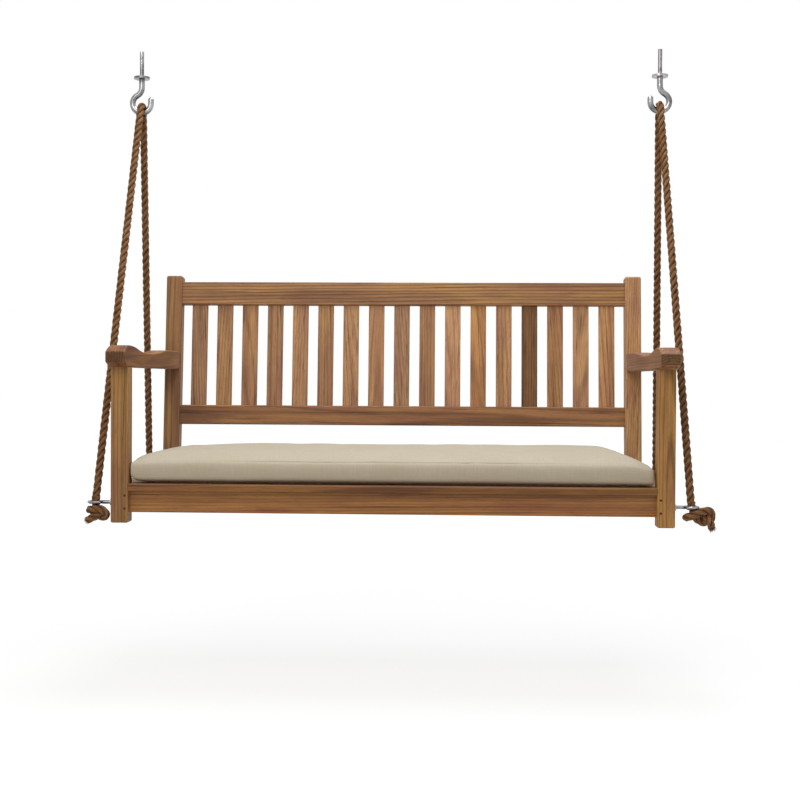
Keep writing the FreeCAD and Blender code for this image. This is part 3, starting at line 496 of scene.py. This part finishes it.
def dress_solids():
    """Teak on every board, with the grain along it, and the finishes of the pegs, eyes and hooks."""
    soft = ("rope", "knot", "seat_cushion")
    order = 0
    for node in sorted(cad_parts):
        if node.startswith("apron_peg"):
            set_finish(node, peg_finish)
        elif node.startswith(("screw_eye", "ceiling_hook")):
            set_finish(node, steel)
        elif not node.startswith(soft):
            order += 1
            board = teak(f"teak_{node}", family(node, grain_ways, "x"), heart_of(node, order), order,
                         wood_tones.get(node, plain_tone), family(node, ring_counts, plain_ring_count),
                         family(node, grain_slopes, plain_grain_slope))
            set_finish(node, board)


# Repeated small pieces

def new_tree(name, inputs):
    """An empty node tree with geometry at both ends and named inputs."""
    tree = bpy.data.node_groups.new(name, "GeometryNodeTree")
    for way in ("INPUT", "OUTPUT"):
        tree.interface.new_socket("Geometry", in_out=way, socket_type="NodeSocketGeometry")
    for label, kind in inputs.items():
        tree.interface.new_socket(label, in_out="INPUT", socket_type=f"NodeSocket{kind}")
    return tree


def finish_tree(tree, copies, given):
    """Makes a tree's copies real, gives them their material and ends the tree."""
    solid = join(tree, "GeometryNodeRealizeInstances", {"Geometry": copies.outputs["Instances"]})
    dressed = join(tree, "GeometryNodeSetMaterial", {"Geometry": solid.outputs["Geometry"],
                                                     "Material": given.outputs["Material"]})
    join(tree, "NodeGroupOutput", {"Geometry": dressed.outputs["Geometry"]})


def grown(name, mesh, tree, values):
    """What a node tree makes of a mesh, as a plain piece."""
    holder = bpy.data.objects.new(f"{name}_base", mesh)
    bpy.context.scene.collection.objects.link(holder)
    modifier = holder.modifiers.new("grow", "NODES")
    modifier.node_group = tree
    for item in tree.interface.items_tree:
        if item.in_out == "INPUT" and item.name in values:
            modifier[item.identifier] = values[item.name]
    shape = holder.evaluated_get(bpy.context.evaluated_depsgraph_get())
    piece = bpy.data.objects.new(name, bpy.data.meshes.new_from_object(shape))
    bpy.data.objects.remove(holder)
    bpy.context.scene.collection.objects.link(piece)
    return piece


def stray_fibre_tree():
    """Fine bent fibres that stand off a rope's surface."""
    tree = new_tree("stray_fibres", {"Density": "Float", "Length": "Float", "Thickness": "Float",
                                     "Seed": "Int", "Highest": "Float", "Material": "Material"})
    given = join(tree, "NodeGroupInput")
    place = join(tree, "GeometryNodeInputPosition")
    parts = join(tree, "ShaderNodeSeparateXYZ", {"Vector": place.outputs["Position"]})
    below = join(tree, "FunctionNodeCompare", {0: parts.outputs["Z"], 1: given.outputs["Highest"]},
                 data_type="FLOAT", operation="LESS_THAN")
    roots = join(tree, "GeometryNodeDistributePointsOnFaces", {"Mesh": given.outputs["Geometry"],
                                                               "Selection": below.outputs["Result"],
                                                               "Density": given.outputs["Density"],
                                                               "Seed": given.outputs["Seed"]})
    bent = join(tree, "GeometryNodeCurveQuadraticBezier", {"Resolution": 5, "Start": (0, 0, 0),
                                                           "Middle": (0.7, 0, 0.25), "End": (1, 0, 0.8)})
    sized = join(tree, "GeometryNodeTransform", {"Geometry": bent.outputs["Curve"]})
    size = join(tree, "ShaderNodeCombineXYZ", {axis: given.outputs["Length"] for axis in "XYZ"})
    tree.links.new(size.outputs["Vector"], sized.inputs["Scale"])
    section = join(tree, "GeometryNodeCurvePrimitiveCircle", {"Resolution": 3})
    tree.links.new(given.outputs["Thickness"], section.inputs["Radius"])
    hair = join(tree, "GeometryNodeCurveToMesh", {"Curve": sized.outputs["Geometry"],
                                                  "Profile Curve": section.outputs["Curve"],
                                                  "Fill Caps": True})
    angles = join(tree, "FunctionNodeRandomValue", {0: (-0.5, -0.5, 0), 1: (0.5, 0.5, 2 * math.pi)},
                  data_type="FLOAT_VECTOR")
    tree.links.new(given.outputs["Seed"], angles.inputs["Seed"])
    swing = join(tree, "FunctionNodeEulerToRotation", {"Euler": angles.outputs["Value"]})
    aim = join(tree, "FunctionNodeRotateRotation", {"Rotation": roots.outputs["Rotation"],
                                                    "Rotate By": swing.outputs["Rotation"]},
               rotation_space="LOCAL")
    lengths = join(tree, "FunctionNodeRandomValue", {2: 0.35, 3: 1.2}, data_type="FLOAT")
    tree.links.new(given.outputs["Seed"], lengths.inputs["Seed"])
    copies = join(tree, "GeometryNodeInstanceOnPoints", {"Points": roots.outputs["Points"],
                                                         "Instance": hair.outputs["Mesh"],
                                                         "Rotation": aim.outputs["Rotation"],
                                                         "Scale": lengths.outputs[1]})
    finish_tree(tree, copies, given)
    return tree


def plug_tree():
    """A round wooden plug at each point of a mesh."""
    tree = new_tree("plugs", {"Radius": "Float", "Height": "Float", "Material": "Material"})
    given = join(tree, "NodeGroupInput")
    points = join(tree, "GeometryNodeMeshToPoints", {"Mesh": given.outputs["Geometry"]})
    disc = join(tree, "GeometryNodeMeshCylinder", {"Vertices": 28, "Radius": given.outputs["Radius"],
                                                   "Depth": given.outputs["Height"]})
    copies = join(tree, "GeometryNodeInstanceOnPoints", {"Points": points.outputs["Points"],
                                                         "Instance": disc.outputs["Mesh"]})
    finish_tree(tree, copies, given)
    return tree


def seat_plugs():
    """Plugs over the screws that hold the seat's slats on its rails."""
    rails = ["seat_side_rail_left", "seat_centre_bearer", "seat_side_rail_right"]
    across = [(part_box(rail)[0][0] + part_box(rail)[1][0]) / 2 for rail in rails]
    apron_low, apron_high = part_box("seat_apron")
    places = []
    for node in sorted(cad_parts):
        if not node.startswith("seat_slat"):
            continue
        low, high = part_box(node)
        on_apron = node == "seat_slat_front"
        middle = (apron_low[1] + apron_high[1]) / 2 if on_apron else (low[1] + high[1]) / 2
        places += [(x * (front_plug_share if on_apron else 1), middle, high[2]) for x in across]
    mesh = bpy.data.meshes.new("plug_places")
    mesh.from_pydata(places, [], [])
    plugs = grown("seat_plugs", mesh, plug_tree(),
                  {"Radius": plug_radius, "Height": plug_height, "Material": plug_finish})
    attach(plugs, "swing")


# Ropes and knots

def smooth_line(name, route):
    """Points along the smooth line that a route gives."""
    curve = bpy.data.curves.new(name, "CURVE")
    curve.dimensions = "3D"
    spline = curve.splines.new("NURBS")
    spline.points.add(len(route) - 1)
    for point, place in zip(spline.points, route):
        point.co = (*place, 1)
    spline.order_u = 3
    spline.use_endpoint_u = True
    spline.resolution_u = 32
    line = bpy.data.objects.new(name, curve)
    mesh = bpy.data.meshes.new_from_object(line)
    places = np.array([vertex.co for vertex in mesh.vertices])
    bpy.data.objects.remove(line)
    bpy.data.curves.remove(curve)
    bpy.data.meshes.remove(mesh)
    return places


def even(places, step):
    """The same line, with points a steady step apart."""
    gaps = np.linalg.norm(np.diff(places, axis=0), axis=1)
    run = np.concatenate([[0], np.cumsum(gaps)])
    stops = np.linspace(0, run[-1], max(int(round(run[-1] / step)), 2) + 1)
    return np.column_stack([np.interp(stops, run, places[:, axis]) for axis in range(3)])


def length_of(places):
    """How long a line of points is."""
    return float(np.linalg.norm(np.diff(places, axis=0), axis=1).sum())


def unit(vectors):
    """Vectors of length one."""
    return vectors / np.linalg.norm(vectors, axis=-1, keepdims=True)


def carried_frames(places):
    """For each point of a line its direction and two sideways directions that don't twist."""
    ahead = unit(np.gradient(places, axis=0))
    start = np.cross(ahead[0], (0.3, 0.9, 0.2))
    across = [start / np.linalg.norm(start)]
    for direction in ahead[1:]:
        carried = across[-1] - direction * np.dot(across[-1], direction)
        across.append(carried / np.linalg.norm(carried))
    across = np.array(across)
    return ahead, across, np.cross(ahead, across)


def strands_along(places):
    """The surface of three strands laid round a line: points, faces, places on the yarns, and how far each
    point lies in the hollows, for painted shade.
    """
    ahead, across, over = carried_frames(places)
    run = np.concatenate([[0], np.cumsum(np.linalg.norm(np.diff(places, axis=0), axis=1))])
    corners = yarn_corners * strand_yarns
    angles = np.linspace(0, 2 * math.pi, corners, endpoint=False)
    vertices, faces, lies, hollows = [], [], [], []
    for strand in range(rope_strands):
        turn = 2 * math.pi * (strand / rope_strands + run / rope_lay)
        outward = np.cos(turn)[:, None] * across + np.sin(turn)[:, None] * over
        centre = places + strand_offset * outward
        heading = unit(np.gradient(centre, axis=0))
        sideways = unit(np.cross(heading, outward))
        for index in range(len(places)):
            twist = strand_yarns * (angles + 2 * math.pi * run[index] / rope_lay)
            radius = strand_radius * (1 + yarn_relief_share * np.cos(twist))
            ring = (centre[index] + (radius * np.cos(angles))[:, None] * outward[index]
                    + (radius * np.sin(angles))[:, None] * sideways[index])
            vertices.extend(ring)
            turned = angles + twist[0] / strand_yarns
            lies.extend((angle / (2 * math.pi), run[index] / rope_lay) for angle in turned)
            # painted shade: strongest on the side of each strand that faces into the rope
            hollows.extend(0.5 - 0.5 * np.cos(angles) * (1 - 0.25 * (1 - np.cos(twist))))
        base = strand * len(places) * corners
        for index in range(len(places) - 1):
            for corner in range(corners):
                after = (corner + 1) % corners
                faces.append((base + index * corners + corner, base + index * corners + after,
                              base + (index + 1) * corners + after, base + (index + 1) * corners + corner))
        faces.append(tuple(base + corner for corner in reversed(range(corners))))
        faces.append(tuple(base + (len(places) - 1) * corners + corner for corner in range(corners)))
    return vertices, faces, lies, hollows


def laid_rope(name, places, material):
    """A piece of laid rope along a line."""
    vertices, faces, lies, hollows = strands_along(places)
    piece = new_piece(name, vertices, faces, material)
    uv_map = piece.data.uv_layers.new(name="lie")
    for loop in piece.data.loops:
        uv_map.data[loop.index].uv = lies[loop.vertex_index]
    # the painted shade of the hollows between strands, kept for the material
    shade = piece.data.attributes.new("hollow", "FLOAT", "POINT")
    shade.data.foreach_set("value", [float(hollow) for hollow in hollows])
    return piece


def rope_places(hand):
    """One rope's route in the part."""
    places = []
    for back, up in rope_route:
        places.append((hand * (hook_wire.x - up * math.sin(rope_lean)), back,
                       hook_wire.z + up * math.cos(rope_lean)))
    return places


def settle_knot(places):
    """Pushes apart the turns of a knot where the rope would lie in itself."""
    step = length_of(places) / (len(places) - 1)
    skip = int(knot_neighbour_reach / step)
    count = len(places)
    far = np.abs(np.subtract.outer(np.arange(count), np.arange(count))) > skip
    for _ in range(knot_rounds):
        between = places[:, None] - places[None, :]
        distance = np.linalg.norm(between, axis=2) + 1e-9
        push = np.where(far & (distance < knot_turn_gap), (knot_turn_gap - distance) / distance, 0)
        shift = knot_push * (push[:, :, None] * between).sum(axis=1)
        shift[1:-1] += knot_smoothing * ((places[:-2] + places[2:]) / 2 - places[1:-1])
        shift[:knot_held_points] = 0
        reach = np.linalg.norm(shift, axis=1, keepdims=True)
        places = places + shift * np.minimum(1, knot_longest_move / (reach + 1e-9))
    return even(places, step)


def knot_places(side, end):
    """A knot's line under an eye."""
    low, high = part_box(f"screw_eye_{end}_{side}")
    middle = Vector((sides[side] * eye_reach, (low[1] + high[1]) / 2, (low[2] + high[2]) / 2))
    route, hand = knot_routes[end, side]
    places = [middle + Vector((hand * right, back, up)) for right, back, up in route]
    return settle_knot(even(smooth_line(f"knot_line_{end}_{side}", places), knot_step))


def frayed_end(name, places, seed, material):
    """Loose fibres that spread from the cut end of a rope."""
    random = np.random.default_rng(seed)
    ahead, across, over = carried_frames(places)
    end, heading = places[-1], ahead[-1]
    vertices, faces = [], []
    for _ in range(tail_fibres):
        angle = random.uniform(0, 2 * math.pi)
        reach = math.sqrt(random.uniform(0, 1)) * tail_reach
        root = end + reach * (math.cos(angle) * across[-1] + math.sin(angle) * over[-1]) - heading * 2 * mm
        spread = unit(heading + 0.5 * random.normal(0, 1, 3) * (0.4 + reach / rope_thickness))
        length = random.uniform(*tail_lengths_mm) * mm
        droop = np.array((0, 0, -1)) * length * random.uniform(0, tail_most_droop)
        thickness = random.uniform(*tail_thicknesses_mm) * mm
        side_one = unit(np.cross(spread, (0.2, 0.5, 0.8)))
        side_two = np.cross(spread, side_one)
        base = len(vertices)
        for step in range(tail_rings):
            share = step / (tail_rings - 1)
            place = root + spread * length * share + droop * share**2
            taper = thickness * (1 - 0.7 * share)
            for corner in range(tail_corners):
                around = 2 * math.pi * corner / tail_corners
                vertices.append(place + taper * (math.cos(around) * side_one + math.sin(around) * side_two))
        for step in range(tail_rings - 1):
            lower = base + tail_corners * step
            upper = lower + tail_corners
            for corner in range(tail_corners):
                after = (corner + 1) % tail_corners
                faces.append((lower + corner, lower + after, upper + after, upper + corner))
        faces.append((base + 2, base + 1, base))
        faces.append((upper, upper + 1, upper + 2))
    piece = new_piece(name, vertices, faces, material)
    uv_map = piece.data.uv_layers.new(name="lie")
    fibre_points = tail_rings * tail_corners
    shades = 3 * fibre_points
    for loop in piece.data.loops:
        number = loop.vertex_index
        uv_map.data[loop.index].uv = (number % shades / shades, number // fibre_points * 0.37)
    return piece


def ropes():
    """Both ropes with their knots."""
    fuzz = stray_fibre_tree()
    for side, hand in sides.items():
        line = even(smooth_line(f"rope_line_{side}", rope_places(hand)), rope_step)
        rope = laid_rope(f"laid_rope_{side}", line, fibre)
        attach(rope, "swing")
        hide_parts(f"rope_{side}")
        fibres = grown(f"stray_fibres_{side}", rope.data.copy(), fuzz,
                       {"Density": stray_fibre_density, "Length": stray_fibre_length,
                        "Thickness": stray_fibre_thickness, "Seed": stray_fibre_seed + hand,
                        "Highest": stray_fibre_top, "Material": fibre})
        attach(fibres, "swing")
        for end, way in ends.items():
            turns = knot_places(side, end)
            knot = laid_rope(f"overhand_knot_{end}_{side}", turns, fibre)
            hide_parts(f"knot_{end}_{side}")
            tail = frayed_end(f"frayed_tail_{end}_{side}", turns, tail_seed + 3 * hand + way, fibre)
            for piece in (knot, tail):
                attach(piece, "swing")


# Seat cushion

def cell_places(length):
    """Places from one edge to the other, a cell apart, with a narrow row at each edge for the seam."""
    count = int((length - 2 * seam_row) / cushion_cell)
    inner = np.linspace(seam_row - length / 2, length / 2 - seam_row, count + 1)
    return np.concatenate([[-length / 2], inner, [length / 2]])


def plan_place(x, y, half_wide, half_deep, inset):
    """A place of the square plan, drawn in and with its corners rounded."""
    corner = (cushion_left_corner if x < 0 else cushion_right_corner) - inset
    x *= (half_wide - inset) / half_wide
    y *= (half_deep - inset) / half_deep
    over_x = abs(x) - (half_wide - inset - corner)
    over_y = abs(y) - (half_deep - inset - corner)
    if over_x > 0 and over_y > 0:
        share = max(over_x, over_y) / math.hypot(over_x, over_y)
        x -= math.copysign(over_x * (1 - share), x)
        y -= math.copysign(over_y * (1 - share), y)
    return x, y


def rearward(back, half_deep):
    """How far a place is from the cushion's front edge towards its rear one, from none to one."""
    return (back + half_deep) / (2 * half_deep)


def end_lift(across, half_wide):
    """How far the foot of the cushion's left end rolls up off the seat."""
    return cushion_end_lift * math.exp(-(across + half_wide) / cushion_lift_reach)


def end_lean(across, half_wide, share):
    """How far the cushion's left end leans out over its foot, given the share of the height."""
    return cushion_end_lean * share * math.exp(-(across + half_wide) / cushion_lift_reach)


def corner_droop(x, y, half_wide, half_deep):
    """How far the cushion's top falls away towards its nearest corner."""
    away = math.hypot(half_wide - abs(x), half_deep - abs(y)) / cushion_droop_reach
    return cushion_corner_droop * math.exp(-away * away)


def cushion_cover():
    """The cover before it is filled: a top, a foot and the sides between them, and its seams' rings."""
    low, high = (Vector(corner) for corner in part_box("seat_cushion"))
    half_wide = (high.x - low.x) / 2 + cushion_end_allowance
    half_deep = (high.y - low.y) / 2 - cushion_swell
    middle = (low + high) / 2
    columns, rows = cell_places(2 * half_wide), cell_places(2 * half_deep)
    foot_inset = cushion_side[0][1]
    top_height, top_inset = cushion_side[-1]
    mesh = bmesh.new()
    top, foot, plan = {}, {}, {}
    for column, x in enumerate(columns):
        for row, y in enumerate(rows):
            plan[column, row] = x, y
            away = min(half_wide - abs(x), half_deep - abs(y))
            crown = cushion_crown * (1 - cushion_rear_crown * rearward(y, half_deep))
            rise = top_height * (1 + cushion_rear_swell * rearward(y, half_deep))
            rise += crown * (1 - math.exp(-away / cushion_crown_slope))
            rise -= corner_droop(x, y, half_wide, half_deep)
            across, back = plan_place(x, y, half_wide, half_deep, top_inset)
            across -= end_lean(x, half_wide, 1)
            top[column, row] = mesh.verts.new((middle.x + across, middle.y + back, low.z + rise))
            across, back = plan_place(x, y, half_wide, half_deep, foot_inset)
            lifted = low.z + end_lift(x, half_wide)
            foot[column, row] = mesh.verts.new((middle.x + across, middle.y + back, lifted))
    last_column, last_row = len(columns) - 1, len(rows) - 1
    for column in range(last_column):
        for row in range(last_row):
            around = [(column, row), (column + 1, row), (column + 1, row + 1), (column, row + 1)]
            mesh.faces.new([top[place] for place in around])
            mesh.faces.new([foot[place] for place in reversed(around)])
    border = [(column, 0) for column in range(last_column)]
    border += [(last_column, row) for row in range(last_row)]
    border += [(column, last_row) for column in range(last_column, 0, -1)]
    border += [(0, row) for row in range(last_row, 0, -1)]
    rings = [[foot[place] for place in border]]
    for height, inset in cushion_side[1:-1]:
        ring = []
        for place in border:
            across, back = plan_place(*plan[place], half_wide, half_deep, inset)
            leaning = max(0, height / top_height - cushion_lean_start) / (1 - cushion_lean_start)
            across -= end_lean(plan[place][0], half_wide, leaning)
            rise = height * (1 + cushion_rear_swell * rearward(plan[place][1], half_deep))
            rise += end_lift(plan[place][0], half_wide) * (1 - height / top_height)
            rise -= corner_droop(*plan[place], half_wide, half_deep) * height / top_height
            ring.append(mesh.verts.new((middle.x + across, middle.y + back, low.z + rise)))
        rings.append(ring)
    rings.append([top[place] for place in border])
    for lower, upper in zip(rings, rings[1:]):
        for index in range(len(border)):
            after = (index + 1) % len(border)
            mesh.faces.new((lower[index], lower[after], upper[after], upper[index]))
    mesh.verts.index_update()
    seams = []
    for level, strength in seam_levels.items():
        seams.append(([vertex.index for vertex in rings[level]], strength))
    cover = bpy.data.meshes.new("canvas_cushion")
    mesh.to_mesh(cover)
    mesh.free()
    return cover, low, seams


def fill_cushion(piece, low):
    """Swells the cover by cloth simulation, its foot held on the seat."""
    before = [vertex.co.copy() for vertex in piece.data.vertices]
    held = piece.vertex_groups.new(name="held")
    below = [vertex.index for vertex in piece.data.vertices if vertex.co.z < low.z + cushion_held_height]
    held.add(below, 1.0, "REPLACE")
    filling = piece.modifiers.new("filling", "CLOTH")
    filling.settings.use_pressure = True
    filling.settings.uniform_pressure_force = 4
    filling.settings.effector_weights.gravity = 0
    filling.settings.vertex_group_mass = "held"
    filling.settings.quality = 4
    filling.settings.tension_stiffness = 15
    filling.settings.compression_stiffness = 15
    filling.settings.bending_stiffness = 0.5
    filling.collision_settings.use_collision = False
    for number in range(1, cushion_filling_steps + 1):
        bpy.context.scene.frame_set(number)
    filled = piece.evaluated_get(bpy.context.evaluated_depsgraph_get()).to_mesh()
    after = [vertex.co.copy() for vertex in filled.vertices]
    piece.modifiers.remove(filling)
    piece.vertex_groups.remove(held)
    bpy.context.scene.frame_set(1)
    for vertex, old, new in zip(piece.data.vertices, before, after):
        move = new - old
        vertex.co = old + move * min(1, cushion_furthest_swell / max(move.length, 1e-9))
        vertex.co.z = max(vertex.co.z, low.z)


def settle_cushion(cover, low, seams):
    """Dents and soft waves in the filled cover, and its two seams drawn in, with painted shade kept for
    their grooves.
    """
    half_wide = max(vertex.co.x for vertex in cover.vertices)
    for vertex in cover.vertices:
        lift = min((vertex.co.z - low.z) / full_dent_height, 1)
        for x, y, wide, deep, depth in cushion_dents:
            away = math.hypot((vertex.co.x - x) / wide, (vertex.co.y - y) / deep)
            vertex.co.z -= lift * depth * math.exp(-away * away)
        wave = sum(noise.noise(vertex.co * scale) * height for scale, height in cushion_waves)
        vertex.co += vertex.normal * wave * lift
    cover.update()
    # how tight each seam is, kept for the painted shade in its groove
    shade = cover.attributes.new("seam", "FLOAT", "POINT")
    for seam, strength in seams:
        for index in seam:
            vertex = cover.vertices[index]
            from_end = half_wide - abs(vertex.co.x)
            shown = (from_end - seam_fade_start) / (seam_fade_end - seam_fade_start)
            pucker = 0.8 + 0.5 * noise.noise(vertex.co * seam_pucker_scale)
            tight = strength * min(max(shown, seam_least), 1) * pucker
            vertex.co -= vertex.normal * seam_depth * tight
            shade.data[index].value = tight
    cover.update()


def cloth_places(cover):
    """Lays the weave's threads along the cushion's edges."""
    uv_map = cover.uv_layers.new(name="cloth")
    for face in cover.polygons:
        for loop in face.loop_indices:
            x, y, z = cover.vertices[cover.loops[loop].vertex_index].co
            if abs(face.normal.z) > 0.6:
                uv_map.data[loop].uv = x, y
            else:
                uv_map.data[loop].uv = (y, z) if abs(face.normal.x) > abs(face.normal.y) else (x, z)


def cushion(material):
    """The seat cushion: filled, then sewn."""
    cover, low, seams = cushion_cover()
    cover.materials.append(material)
    piece = bpy.data.objects.new("canvas_cushion", cover)
    bpy.context.scene.collection.objects.link(piece)
    fill_cushion(piece, low)
    settle_cushion(cover, low, seams)
    cloth_places(cover)
    cover.polygons.foreach_set("use_smooth", [True] * len(cover.polygons))
    finer = piece.modifiers.new("finer", "SUBSURF")
    finer.levels = finer.render_levels = 1
    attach(piece, "cushion")
    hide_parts("seat_cushion")


# Floor, light and camera

def shown_to_eye(tree):
    """One where a ray shows a surface to the eye, straight, mirrored or through glass, or else none."""
    seen = join(tree, "ShaderNodeLightPath")
    shown = seen.outputs["Is Camera Ray"]
    for ray in ("Is Glossy Ray", "Is Transmission Ray"):
        larger = join(tree, "ShaderNodeMath", {0: shown, 1: seen.outputs[ray]}, operation="MAXIMUM")
        shown = larger.outputs[0]
    return shown


def floor():
    """A pale floor far under the seat, nearly white to the eye, that keeps a soft shadow."""
    mesh = bmesh.new()
    bmesh.ops.create_grid(mesh, x_segments=1, y_segments=1, size=floor_reach)
    data = bpy.data.meshes.new("floor")
    mesh.to_mesh(data)
    mesh.free()
    data.transform(Matrix.Translation((0, 0, floor_height)))
    finish = Finish("pale_floor")
    finish.shade(Base_Color=(0.85, 0.85, 0.85, 1), Roughness=0.9)
    white = finish.add("Emission", {"Color": (1, 1, 1, 1), "Strength": floor_white})
    away = finish.add("VectorMath", {0: finish.add("TexCoord").outputs["Object"]}, operation="LENGTH")
    fade = finish.spread(away.outputs["Value"], floor_fade_start, floor_fade_end, floor_whiteness, 1.0)
    share = finish.math("MULTIPLY", shown_to_eye(finish.tree), fade)
    mixed = finish.add("MixShader", {0: share, 1: finish.shader.outputs["BSDF"],
                                     2: white.outputs["Emission"]})
    feed(finish.tree, finish.tree.nodes["Material Output"], "Surface", mixed.outputs["Shader"])
    data.materials.append(finish.material)
    ground = bpy.data.objects.new("floor", data)
    bpy.context.scene.collection.objects.link(ground)


def backdrop_light():
    """An even white surround, softer on the object than it looks to the eye."""
    world = bpy.data.worlds.new("studio")
    world.use_nodes = True
    bpy.context.scene.world = world
    tree = world.node_tree
    strength = join(tree, "ShaderNodeMapRange", {"Value": shown_to_eye(tree), "To Min": surround_on_object,
                                                 "To Max": surround_to_eye})
    sky = tree.nodes["Background"]
    feed(tree, sky, "Color", (1, 1, 1, 1))
    feed(tree, sky, "Strength", strength.outputs["Result"])


def lamp(name, place, target, size, power, colour):
    """A square soft light that looks at a place."""
    light = bpy.data.lights.new(name, "AREA")
    light.shape = "SQUARE"
    light.size = size
    light.energy = power
    light.color = colour
    holder = bpy.data.objects.new(name, light)
    holder.location = place
    holder.rotation_euler = (Vector(target) - Vector(place)).to_track_quat("-Z", "Y").to_euler()
    bpy.context.scene.collection.objects.link(holder)


def studio():
    """The lights and the camera."""
    seat = (0, 0, -0.8)
    lamp("overhead", place=(0.3, -0.1, 1.6), target=seat, size=1.6, power=58, colour=(0.93, 0.965, 1))
    lamp("front", place=(-0.8, -2.6, 1.3), target=seat, size=1.8, power=45, colour=(1, 0.905, 0.77))
    lens = bpy.data.cameras.new("view")
    lens.sensor_width = 36
    lens.lens = lens.sensor_width * focal_length / picture_size
    camera = bpy.data.objects.new("view", lens)
    ahead = Matrix(((1, 0, 0), (0, 0, -1), (0, 1, 0)))
    # the rows of the turn are the view's right, down and forward
    turn = (Matrix.Rotation(camera_roll, 3, "Z") @ Matrix.Rotation(camera_pitch, 3, "X") @ ahead
            @ Matrix.Rotation(camera_yaw, 3, "Z"))
    right, down, forward = turn
    axes = Matrix((right, -down, -forward)).transposed()
    camera.matrix_world = Matrix.Translation(camera_place) @ axes.to_4x4()
    bpy.context.scene.collection.objects.link(camera)
    bpy.context.scene.camera = camera
    bpy.context.scene.view_settings.view_transform = "Standard"


steel = polished_steel()
peg_finish = dark_peg()
plug_finish = teak("teak_plugs", "z", plug_heart, 1, plug_tone, plug_ring_count, plain_grain_slope)
fibre = rope_fibre()
ropes()
dress_solids()
seat_plugs()
cushion(canvas())
floor()
backdrop_light()
studio()
